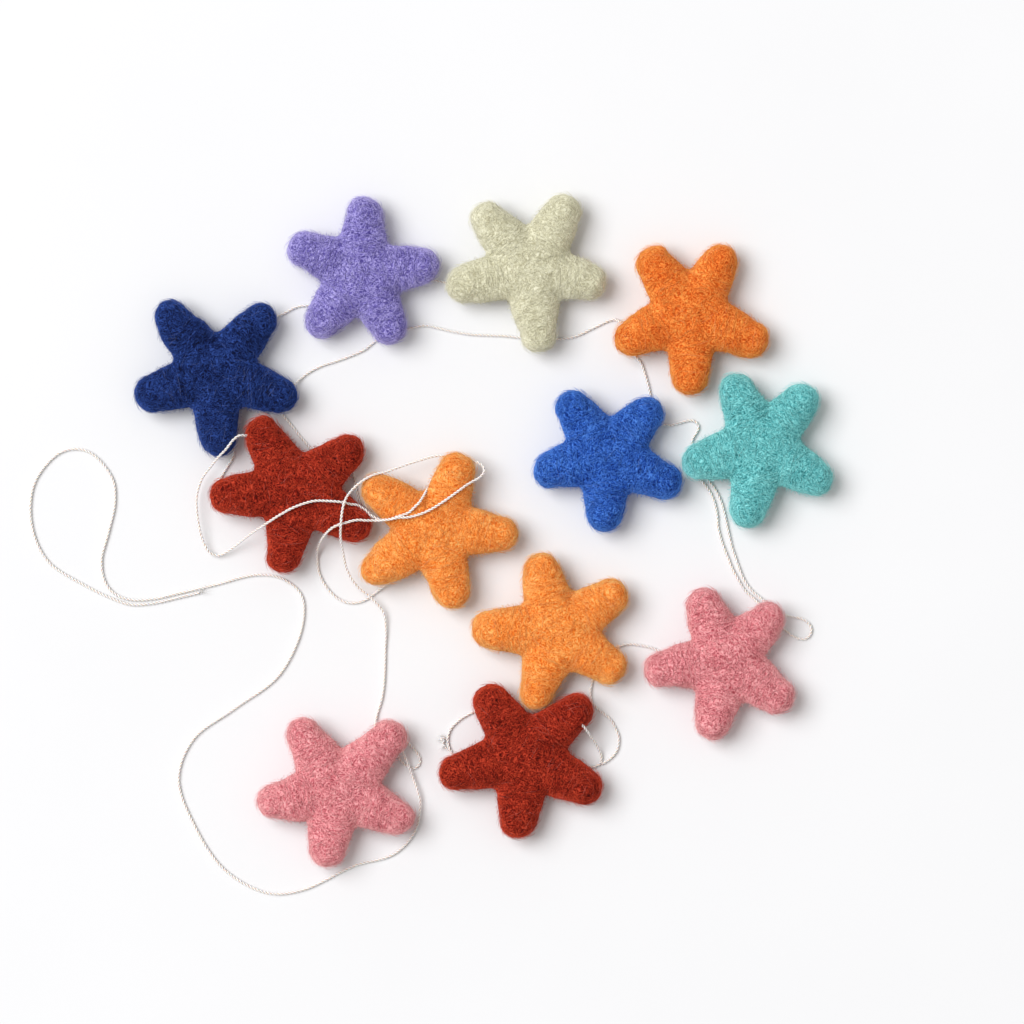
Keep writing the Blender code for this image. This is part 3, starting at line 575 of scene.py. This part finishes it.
def lay_of_fibres(places, outward, row):
    """Which way the barbed needle left the fibres: round an arm, and along the outline at its tip."""
    places = places - np.array((row.x, row.y, MID_HEIGHT))
    ends = np.array(axis_ends(row))
    runs = np.linalg.norm(ends, axis=1)
    nearness = places @ (ends / runs[:, None]).T
    nearest = nearness.argmax(axis=1)
    share = nearness.max(axis=1) / runs[nearest]
    wrap = np.cross((ends / runs[:, None])[nearest], outward)
    rim = np.cross((0, 0, 1), outward)
    at_tip = smoothstep((share - LAY_TIP) / LAY_CHANGE)[:, None]
    off_middle = smoothstep((share - LAY_MIDDLE) / LAY_CHANGE)[:, None]
    return off_middle * (wrap * (1 - at_tip) + rim * at_tip)


def felted_star(row):
    """A star's wool: plump round arms, a gently domed middle and the low lumps of needled felt."""
    mesh = even_mesh(row.node)
    places = np.zeros(len(mesh.vertices) * 3)
    mesh.vertices.foreach_get("co", places)
    places = places.reshape(-1, 3)
    for _ in range(FIT_STEPS):
        slope = wool_slope(places, row)
        depth = wool_depth(places, row) - lumps(places)
        places = places - slope * (depth / (slope * slope).sum(axis=1))[:, None]
    outward = wool_slope(places, row)
    outward /= np.linalg.norm(outward, axis=1)[:, None]
    upright = outward[:, 2]
    places[:, 2] *= smoothstep((places[:, 2] - PRESSED) / (FREE - PRESSED))
    mesh.vertices.foreach_set("co", places.ravel())
    on_top = smoothstep(2 * upright + 1)
    growth = (GROWTH_BELOW + (1 - GROWTH_BELOW) * on_top) * (places[:, 2] > FREE)
    # Painted rim light: marks the steep sides, which the materials paint paler as if light fell on the rim
    painted_rim_light = smoothstep((RIM_LIGHT_BELOW - upright) / RIM_LIGHT_OVER)
    lay = mesh.attributes.new("lay", "FLOAT_VECTOR", "POINT")
    lay.data.foreach_set("vector", lay_of_fibres(places, outward, row).ravel())
    for name, values in (("growth", growth), ("painted_rim_light", painted_rim_light)):
        mesh.attributes.new(name, "FLOAT", "POINT").data.foreach_set("value", values)
    mesh.shade_smooth()
    mesh.update()
    return mesh


# The wool's finish


def in_millimetres(tree):
    place = out(add(tree, "ShaderNodeTexCoord"), "Object")
    return scaled(tree, place, MILLIMETRES)


def pattern(tree, place, apart, detail=1.0, shift=0.0):
    """Soft noise whose spots are this many millimetres apart."""
    moved = vector_node(tree, "ADD", place, (shift, shift, shift))
    return add(tree, "ShaderNodeTexNoise", {"Vector": moved, "Scale": 1 / apart, "Detail": detail})


def curls(tree, place, apart, lines, shift):
    """Thin curly lines, as felted fibres lie: the contours of soft noise."""
    value = out(pattern(tree, place, apart, shift=shift), "Fac")
    wave = math_node(tree, "PINGPONG", math_node(tree, "MULTIPLY", value, lines), 0.5)
    return math_node(tree, "POWER", math_node(tree, "MULTIPLY", wave, 2.0), 1.6)


def stirred(tree, place):
    """The place moved about by some millimetres, which curls what is drawn there."""
    away = out(pattern(tree, place, apart=4.5, detail=2.0, shift=9.0), "Color")
    away = scaled(tree, vector_node(tree, "SUBTRACT", away, NOISE_MIDDLE), 5.0)
    return vector_node(tree, "ADD", place, away)


def paler(code):
    """The colour of a hair that took less of the dye."""
    return tuple(1 - (1 - part) * BLEACHED for part in linear(code))


def wool_finish(wool):
    """Matt, with the bloom of fine hairs seen edge on."""
    return {
        "Roughness": 0.92, "Specular IOR Level": 0.15,
        "Sheen Weight": 0.8, "Sheen Roughness": 0.45, "Sheen Tint": linear(wool.light),
    }


def needled_wool(colour):
    """Merino wool felted with barbed needles: quite matt, with a soft pale bloom at the edges from its sheen,
    and painted paler on its steep sides as light on the rim. It is mottled in clouds some 8 mm wide, and its
    curly fibres are packed about 0.4 mm apart, with small pits where the needle went in, sunk by the bump and
    painted darker as shade in them."""
    wool = WOOL[colour]
    material, tree, shader = new_material("needled_wool_" + colour, wool_finish(wool))
    place = in_millimetres(tree)
    curly = stirred(tree, place)
    first = curls(tree, curly, apart=3.0, lines=8.0, shift=0.0)
    second = curls(tree, curly, apart=2.0, lines=5.0, shift=31.0)
    strands = math_node(tree, "MAXIMUM", first, math_node(tree, "MULTIPLY", second, 0.85))
    cloud = out(pattern(tree, place, apart=8.0, detail=3.0, shift=17.0), "Fac")
    speck = out(pattern(tree, place, apart=0.45, shift=5.0), "Fac")
    hollow = out(add(tree, "ShaderNodeTexVoronoi", {"Vector": curly, "Scale": 1 / 2.2}), "Distance")
    # Needle pits: painted darker, as shade in the holes, and sunk in by the bump below
    shaded_pit = math_node(tree, "MULTIPLY", math_node(tree, "SUBTRACT", 0.16, hollow), 6.0, clamp=True)
    # Painted rim light: paler colour on the steep sides
    painted_rim_light = attribute(tree, "painted_rim_light", "Fac")
    tone = weighted(tree, (strands, 0.50), (cloud, 0.30), (speck, 0.20), (shaded_pit, -0.35), (painted_rim_light, PAINTED_RIM_LIGHT_FELT))
    places = ((0.22, linear(wool.dark)), (0.5, linear(wool.middle)), (0.80, linear(wool.light)))
    tree.links.new(tones(tree, tone, places), shader.inputs["Base Color"])
    height = weighted(tree, (strands, 1.0), (speck, 0.8), (shaded_pit, -1.0))
    bump = add(tree, "ShaderNodeBump", {"Height": height, "Strength": 0.7, "Distance": 0.00016})
    tree.links.new(out(bump, "Normal"), shader.inputs["Normal"])
    return material


def loose_wool(colour):
    """Single fibres on the felt: the same dyed wool, each a little paler or darker than its neighbours, and
    painted paler on the star's steep sides as light on the rim.
    """
    wool = WOOL[colour]
    material, tree, shader = new_material("loose_wool_" + colour, wool_finish(wool))
    cloud = out(pattern(tree, in_millimetres(tree), apart=6.0, detail=2.0, shift=17.0), "Fac")
    tone = weighted(tree, (attribute(tree, "tone", "Fac"), 0.62), (cloud, 0.28))
    places = (
        (0.18, linear(wool.dark)), (0.41, linear(wool.middle)), (0.65, linear(wool.light)),
        (0.80, linear(wool.light)), (0.92, paler(wool.light)),
    )
    tree.links.new(tones(tree, tone, places), shader.inputs["Base Color"])
    return material


# Fibres


def stored(tree, name, kind="FLOAT"):
    """What the star's mesh or its fibres store under this name."""
    return out(add(tree, "GeometryNodeInputNamedAttribute", {"Name": name}, data_type=kind), "Attribute")


def chance(tree, seed, limits):
    """A random number between two limits."""
    low, high = limits
    values = {"Min": low, "Max": high, "Seed": seed}
    return out(add(tree, "FunctionNodeRandomValue", values, data_type="FLOAT"), "Value")


def at_surface(tree, star_mesh, field, here):
    """What a field is on the star's surface, at its nearest place to here."""
    values = {"Mesh": star_mesh, "Value": field, "Sample Position": here}
    return out(add(tree, "GeometryNodeSampleNearestSurface", values, data_type="FLOAT_VECTOR"), "Value")


def shaped(tree, kind, inputs, **settings):
    """What a node makes of the geometry that it is given."""
    return out(add(tree, kind, inputs, **settings), "Geometry")


def fibre_way(tree, given, here):
    """Which way a fibre lies: as the needle left the wool, turned by slow swirls and a little by itself."""
    swirl = add(tree, "ShaderNodeTexNoise", {"Vector": here, "Scale": 1 / SWIRL_STEP, "Detail": 1.5})
    swirl = vector_node(tree, "SUBTRACT", out(swirl, "Color"), NOISE_MIDDLE)
    swirl = scaled(tree, swirl, out(given, "Swirl"))
    limits = {"Min": (-STRAY, -STRAY, -STRAY), "Max": (STRAY, STRAY, STRAY)}
    stray = out(add(tree, "FunctionNodeRandomValue", limits, data_type="FLOAT_VECTOR"), "Value")
    lay = stored(tree, "lay", "FLOAT_VECTOR")
    return vector_node(tree, "ADD", vector_node(tree, "ADD", lay, swirl), stray)


def fibre_curl(tree, given, here):
    """How far each point of a fibre strays from a straight line."""
    own = math_node(tree, "MULTIPLY", stored(tree, "tone"), CURL_APART)
    values = {"Vector": here, "W": own, "Scale": 1 / CURL_STEP, "Detail": 1.0}
    curl = out(add(tree, "ShaderNodeTexNoise", values, noise_dimensions="4D"), "Color")
    curl = vector_node(tree, "SUBTRACT", curl, NOISE_MIDDLE)
    return scaled(tree, curl, math_node(tree, "MULTIPLY", out(given, "Curl"), 2.0))


def fibre_place(tree, star_mesh, here, along):
    """Where each point of a fibre lies: on the wool, rising to its free end, and never in the table."""
    normal = out(add(tree, "GeometryNodeInputNormal"), "Normal")
    rise = math_node(tree, "MULTIPLY", stored(tree, "lift"), along)
    rise = math_node(tree, "ADD", rise, math_node(tree, "MULTIPLY", stored(tree, "thick"), FIBRE_SEAT))
    risen = scaled(tree, at_surface(tree, star_mesh, normal, here), rise)
    risen = vector_node(tree, "ADD", at_surface(tree, star_mesh, here, here), risen)
    risen = add(tree, "ShaderNodeSeparateXYZ", {"Vector": risen})
    height = math_node(tree, "MAXIMUM", out(risen, "Z"), stored(tree, "thick"))
    place = add(tree, "ShaderNodeCombineXYZ", {"X": out(risen, "X"), "Y": out(risen, "Y"), "Z": height})
    return out(place, "Vector")


def fibre_layer(tree, given, number, layer, way):
    """One layer of fibres scattered over the star, straight yet, each with its own tone, radius and lift."""
    def seed(shift):
        return math_node(tree, "ADD", out(given, "Seed"), shift)

    normal = out(add(tree, "GeometryNodeInputNormal"), "Normal")
    upright = out(add(tree, "ShaderNodeSeparateXYZ", {"Vector": normal}), "Z")
    steep = math_node(tree, "SUBTRACT", 1.0, math_node(tree, "ABSOLUTE", upright, 0.0))
    sides = math_node(tree, "ADD", 1.0, math_node(tree, "MULTIPLY", steep, layer.sides))
    growth = math_node(tree, "MULTIPLY", stored(tree, "growth"), sides)
    density = math_node(tree, "MULTIPLY", out(given, "Fibres a square metre"), layer.share)
    density = math_node(tree, "MULTIPLY", density, growth)
    spread = add(tree, "GeometryNodeDistributePointsOnFaces", {
        "Mesh": out(given, "Geometry"), "Density": density, "Seed": seed(LAYER_SEED * number),
    }, distribute_method="RANDOM")
    turned = add(tree, "FunctionNodeAlignRotationToVector", {
        "Rotation": out(spread, "Rotation"), "Vector": way,
    }, axis="X", pivot_axis="Z")
    line = add(tree, "GeometryNodeCurvePrimitiveLine", {"Start": (-0.5, 0, 0), "End": (0.5, 0, 0)})
    line = add(tree, "GeometryNodeResampleCurve", {"Curve": out(line, "Curve"), "Count": layer.points})
    fibres = out(add(tree, "GeometryNodeInstanceOnPoints", {
        "Points": out(spread, "Points"), "Instance": out(line, "Curve"), "Rotation": out(turned, "Rotation"),
        "Scale": chance(tree, seed(LENGTH_SEED), layer.length),
    }), "Instances")
    # Painted rim light: fibres on the steep sides get a paler tone
    painted_rim_paleness = math_node(tree, "MULTIPLY", stored(tree, "painted_rim_light"), PAINTED_RIM_LIGHT_FIBRES)
    fields = {
        "tone": math_node(tree, "ADD", chance(tree, seed(TONE_SEED), layer.tone), painted_rim_paleness),
        "thick": chance(tree, seed(RADIUS_SEED), layer.radius),
        "lift": chance(tree, seed(LIFT_SEED), layer.lift),
    }
    for name, field in fields.items():
        values = {"Geometry": fibres, "Name": name, "Value": field}
        fibres = shaped(tree, "GeometryNodeStoreNamedAttribute", values, data_type="FLOAT", domain="INSTANCE")
    return shaped(tree, "GeometryNodeRealizeInstances", {"Geometry": fibres})


def fibre_tree():
    """Scatters curly fibres over a star. Some lie in its surface, and some rise from it to a free end."""
    tree = bpy.data.node_groups.new("felt_fibres", "GeometryNodeTree")
    tree.interface.new_socket("Geometry", in_out="OUTPUT", socket_type="NodeSocketGeometry")
    tree.interface.new_socket("Geometry", in_out="INPUT", socket_type="NodeSocketGeometry")
    for name, kind in FIBRE_INPUTS:
        tree.interface.new_socket(name, in_out="INPUT", socket_type=kind)
    given = add(tree, "NodeGroupInput")
    here = out(add(tree, "GeometryNodeInputPosition"), "Position")
    way = fibre_way(tree, given, here)
    layers = add(tree, "GeometryNodeJoinGeometry")
    for number, layer in enumerate(LAYERS):
        tree.links.new(fibre_layer(tree, given, number, layer, way), layers.inputs["Geometry"])
    along = out(add(tree, "GeometryNodeSplineParameter"), "Factor")
    curl = fibre_curl(tree, given, here)
    place = fibre_place(tree, out(given, "Geometry"), here, along)
    lines = out(layers, "Geometry")
    lines = shaped(tree, "GeometryNodeSetPosition", {"Geometry": lines, "Offset": curl})
    lines = shaped(tree, "GeometryNodeSetPosition", {"Geometry": lines, "Position": place})
    taper = math_node(tree, "SINE", math_node(tree, "MULTIPLY", along, math.pi), 0.0)
    radius = math_node(tree, "MULTIPLY", stored(tree, "thick"), taper)
    section = add(tree, "GeometryNodeCurvePrimitiveCircle", {"Resolution": FIBRE_SIDES, "Radius": 1.0})
    section = out(section, "Curve")
    bodies = add(tree, "GeometryNodeCurveToMesh", {"Curve": lines, "Profile Curve": section, "Scale": radius})
    fibres = {"Geometry": out(bodies, "Mesh"), "Distance": FIBRE_JOIN}
    fibres = shaped(tree, "GeometryNodeMergeByDistance", fibres)
    fibres = shaped(tree, "GeometryNodeRealizeInstances", {"Geometry": fibres})
    fibres = shaped(tree, "GeometryNodeSetMaterial", {"Geometry": fibres, "Material": out(given, "Wool")})
    add(tree, "NodeGroupOutput", {"Geometry": fibres})
    return tree


def fibres_on(star_mesh, tree, seed, material):
    """The fibres of one star, as a plain mesh."""
    thing = shown("ground", star_mesh)
    modifier = thing.modifiers.new("fibres", "NODES")
    modifier.node_group = tree
    sockets = {item.name: item for item in tree.interface.items_tree if item.in_out == "INPUT"}
    values = (FIBRES_A_MM2 * 1e6, SWIRL, CURL, seed, material)
    for (name, _), value in zip(FIBRE_INPUTS, values):
        modifier[sockets[name].identifier] = value
    mesh = bpy.data.meshes.new_from_object(thing.evaluated_get(bpy.context.evaluated_depsgraph_get()))
    thing.modifiers.remove(modifier)
    bpy.data.objects.remove(thing)
    mesh.shade_smooth()
    return mesh


# The cord


def smooth_curve(route):
    """Many points on one smooth curve through all the points of a route, none lower than the table allows."""
    padded = [route[0] * 2 - route[1], *route, route[-1] * 2 - route[-2]]
    curve = [route[0]]
    for before, start, end, after in zip(padded, padded[1:], padded[2:], padded[3:]):
        spans = [math.sqrt((b - a).length) for a, b in ((before, start), (start, end), (end, after))]
        leave = (start - before) / spans[0] - (end - before) / (spans[0] + spans[1])
        leave += (end - start) / spans[1]
        arrive = (end - start) / spans[1] - (after - start) / (spans[1] + spans[2])
        arrive += (after - end) / spans[2]
        for part in range(1, SMOOTH_STEPS + 1):
            t = part / SMOOTH_STEPS
            point = (
                start * (2 * t**3 - 3 * t**2 + 1)
                + leave * spans[1] * (t**3 - 2 * t**2 + t)
                + end * (3 * t**2 - 2 * t**3)
                + arrive * spans[1] * (t**3 - t**2)
            )
            point.z = max(point.z, CORD_LIE)
            curve.append(point)
    return np.array(curve)


def evenly(points, step):
    """The same line with its points this far apart, and how far along it each one is."""
    runs = np.concatenate(([0], np.cumsum(np.linalg.norm(np.diff(points, axis=0), axis=1))))
    marks = np.linspace(0, runs[-1], max(2, round(runs[-1] / step)) + 1)
    return np.stack([np.interp(marks, runs, points[:, axis]) for axis in range(3)], axis=1), marks


def clear_of_wool(points, marks):
    """The line moved out of the stars that it passes over. Its ends stay in the stars that it goes into."""
    for row in STARS:
        near = np.hypot(points[:, 0] - row.x, points[:, 1] - row.y) < STAR_SPAN
        if not near.any():
            continue
        outside = np.flatnonzero(wool_depth(points, row) >= 0)
        away = np.minimum(marks - marks[outside[0]], marks[outside[-1]] - marks)
        wanted = (CORD_DIAMETER / 2 + CORD_CLEARANCE) * smoothstep(away / CORD_ENTRY)
        chosen = np.flatnonzero(near & (away > 0))
        for _ in range(CLEAR_STEPS):
            here = points[chosen]
            short = np.maximum(0, wanted[chosen] - wool_depth(here, row) + lumps(here))
            slope = wool_slope(here, row)
            slope /= np.linalg.norm(slope, axis=1)[:, None]
            points[chosen] = here + slope * short[:, None]
    return points


def frames_along(points):
    """Two directions square to the line at each point, carried along without turning about it."""
    ways = np.gradient(points, axis=0)
    ways /= np.linalg.norm(ways, axis=1)[:, None]
    side = np.cross(ways[0], (0, 0, 1))
    side /= np.linalg.norm(side)
    sides = []
    for way in ways:
        side = side - way * (side @ way)
        side = side / np.linalg.norm(side)
        sides.append(side)
    sides = np.array(sides)
    return sides, np.cross(ways, sides)


def twisted_cord(name, points, marks, thickness=1.0):
    """Two plies twisted round each other along the line, closed at both ends. Each point keeps where it lies
    round the two plies, and how many millimetres along them."""
    sides, ups = frames_along(points)
    angles = np.arange(CORD_SIDES) * 2 * math.pi / CORD_SIDES
    reach = PLY_OFFSET * np.abs(np.cos(angles)) + np.sqrt(PLY_RADIUS**2 - (PLY_OFFSET * np.sin(angles)) ** 2)
    turn = math.pi * marks[:, None] / (TWIST_STEP * thickness) + angles
    rings = points[:, None] + thickness * reach[:, None] * (
        np.cos(turn)[..., None] * sides[:, None] + np.sin(turn)[..., None] * ups[:, None]
    )
    count = len(points)
    vertices = rings.reshape(-1, 3).tolist()
    faces = []
    for ring in range(count - 1):
        for this in range(CORD_SIDES):
            after = (this + 1) % CORD_SIDES
            low, high = ring * CORD_SIDES, (ring + 1) * CORD_SIDES
            faces.append((low + this, low + after, high + after, high + this))
    faces.append(tuple(reversed(range(CORD_SIDES))))
    faces.append(tuple((count - 1) * CORD_SIDES + this for this in range(CORD_SIDES)))
    mesh = bpy.data.meshes.new(name)
    mesh.from_pydata(vertices, [], faces)
    spun = mesh.attributes.new("spun", "FLOAT_VECTOR", "POINT")
    values = np.zeros((count, CORD_SIDES, 3))
    values[..., 0] = np.cos(angles)
    values[..., 1] = np.sin(angles)
    values[..., 2] = marks[:, None] * MILLIMETRES
    spun.data.foreach_set("vector", values.ravel())
    mesh.shade_smooth()
    return mesh


def cotton_twine():
    """Unbleached cotton spun in two plies: warm off-white with a faint silky shine, its fibres slanting along
    each ply, and painted browner in the groove between the plies, as shade there."""
    material, tree, shader = new_material("cotton_twine", {
        "Roughness": 0.6, "Sheen Weight": 0.35, "Sheen Roughness": 0.4,
        "Subsurface Weight": 0.6, "Subsurface Scale": 0.0007, "Subsurface Radius": (1.0, 0.8, 0.65),
    })
    spun = attribute(tree, "spun", "Vector")
    stretched = out(add(tree, "ShaderNodeMapping", {"Vector": spun, "Scale": (3.0, 3.0, 0.9)}), "Vector")
    fibres = out(add(tree, "ShaderNodeTexNoise", {"Vector": stretched, "Scale": 1.0, "Detail": 3.0}), "Fac")
    across = out(add(tree, "ShaderNodeSeparateXYZ", {"Vector": spun}), "X")
    # Painted shade: the groove between the plies, where the plies' turn is near square to the cord, is
    # coloured browner
    ply = math_node(tree, "ABSOLUTE", across, 0.0)
    tone = weighted(tree, (ply, 0.9), (fibres, 0.3))
    cotton = tones(tree, tone, ((0.24, linear("#BC9880")), (0.60, linear("#FFFBF4"))))
    tree.links.new(cotton, shader.inputs["Base Color"])
    bump = add(tree, "ShaderNodeBump", {"Height": fibres, "Strength": 0.4, "Distance": 0.00006})
    tree.links.new(out(bump, "Normal"), shader.inputs["Normal"])
    return material


def frayed(place, way, luck, size=1.0):
    """Loose cotton fibres that fan out from a place, as one mesh."""
    def astray(spread):
        return Vector(luck.gauss(0, spread) for _ in range(3))

    vertices = []
    faces = []
    for _ in range(FRAY_COUNT):
        ahead = (way + astray(FRAY_SPREAD)).normalized()
        bend = astray(FRAY_BEND)
        length = size * luck.uniform(*FRAY_LENGTH)
        start = place + astray(FRAY_ROOT)
        side = ahead.orthogonal().normalized()
        up = ahead.cross(side)
        first = len(vertices)
        last = first + FRAY_SIDES * (FRAY_POINTS - 1)
        for step in range(FRAY_POINTS):
            share = step / (FRAY_POINTS - 1)
            middle = start + (ahead * share + bend * share**2) * length
            radius = FRAY_RADIUS * (1 - FRAY_TAPER * share)
            for corner in range(FRAY_SIDES):
                angle = 2 * math.pi * corner / FRAY_SIDES
                point = middle + (side * math.cos(angle) + up * math.sin(angle)) * radius
                point.z = max(point.z, FRAY_LOWEST)
                vertices.append(point)
        for ring in range(first, last, FRAY_SIDES):
            for corner in range(FRAY_SIDES):
                this = ring + corner
                after = ring + (corner + 1) % FRAY_SIDES
                faces.append((this, after, after + FRAY_SIDES, this + FRAY_SIDES))
        faces.append(tuple(first + corner for corner in reversed(range(FRAY_SIDES))))
        faces.append(tuple(last + corner for corner in range(FRAY_SIDES)))
    mesh = bpy.data.meshes.new("fray")
    mesh.from_pydata(vertices, [], faces)
    spun = mesh.attributes.new("spun", "FLOAT_VECTOR", "POINT")
    spun.data.foreach_set("vector", [1.0, 0.0, 0.0] * len(vertices))
    mesh.shade_smooth()
    return mesh


def joined(name, meshes):
    """Several meshes as one, and their attribute with them."""
    whole = bmesh.new()
    for mesh in meshes:
        whole.from_mesh(mesh)
        bpy.data.meshes.remove(mesh)
    mesh = bpy.data.meshes.new(name)
    whole.to_mesh(mesh)
    whole.free()
    mesh.shade_smooth()
    return mesh


def make_knot(material):
    """An overhand knot pulled tight, with the cord's cut end frayed beside it."""
    turns = np.linspace(0, 2 * math.pi, KNOT_STEPS)
    loop = np.stack((
        np.sin(turns) + 2 * np.sin(2 * turns),
        np.cos(turns) - 2 * np.cos(2 * turns),
        -3 * np.sin(3 * turns),
    ), axis=1) / 3
    loop, loop_marks = evenly(loop * KNOT_HALF_SIZES + KNOT_MIDDLE, CORD_RING_STEP / 2)
    tail = smooth_curve([Vector(place) for place in (KNOT_MIDDLE, *KNOT_TAIL)])
    tail, tail_marks = evenly(tail, CORD_RING_STEP / 2)
    luck = random.Random(KNOT_FRAY_SEED)
    meshes = [
        twisted_cord("turns", loop, loop_marks, KNOT_THICKNESS),
        twisted_cord("tail", tail, tail_marks, TAIL_THICKNESS),
        *[frayed(Vector(place), Vector(way), luck) for place, way in KNOT_FRAYS],
    ]
    return finished("knot_frayed", joined("knot_frayed", meshes), material, "cord_knot")


def ends_of(row, points, material):
    """The separate pieces on a stretch: the knot beside one, and the frayed end of another."""
    if row.node == KNOT_CORD:
        return [make_knot(material)]
    if row.far_end != "bare":
        return []
    tip = Vector(points[-1])
    way = (tip - Vector(points[-4])).normalized() + Vector(END_FRAY_LEAN)
    mesh = frayed(tip, way, random.Random(END_FRAY_SEED), END_FRAY_SIZE)
    return [finished("fray_end_loop", mesh, material)]


def make_cords(material):
    for row in STRANDS:
        points, marks = evenly(smooth_curve(row.route), CORD_RING_STEP)
        points, marks = evenly(clear_of_wool(points, marks), CORD_RING_STEP)
        points[:, 2] = np.maximum(points[:, 2], CORD_LIE)
        if row.far_end == "bare":
            points = points[::-1]
        name = row.node.replace("cord", "twine", 1)
        piece = finished(name, twisted_cord(name, points, marks), material, row.node)
        ends_of(row, points, material)


def make_stars():
    tree = fibre_tree()
    felt = {colour: needled_wool(colour) for colour in WOOL}
    loose = {colour: loose_wool(colour) for colour in WOOL}
    for seed, row in enumerate(STARS):
        mesh = felted_star(row)
        fibres = fibres_on(mesh, tree, seed, loose[row.colour])
        for name in ("lay", "growth"):
            mesh.attributes.remove(mesh.attributes[name])
        piece = finished(row.node.replace("star", "felt", 1), mesh, felt[row.colour], row.node)
        finished(row.node.replace("star", "fibres", 1), fibres, None)


set_camera()
set_light()
set_floor()
make_cords(cotton_twine())
make_stars()
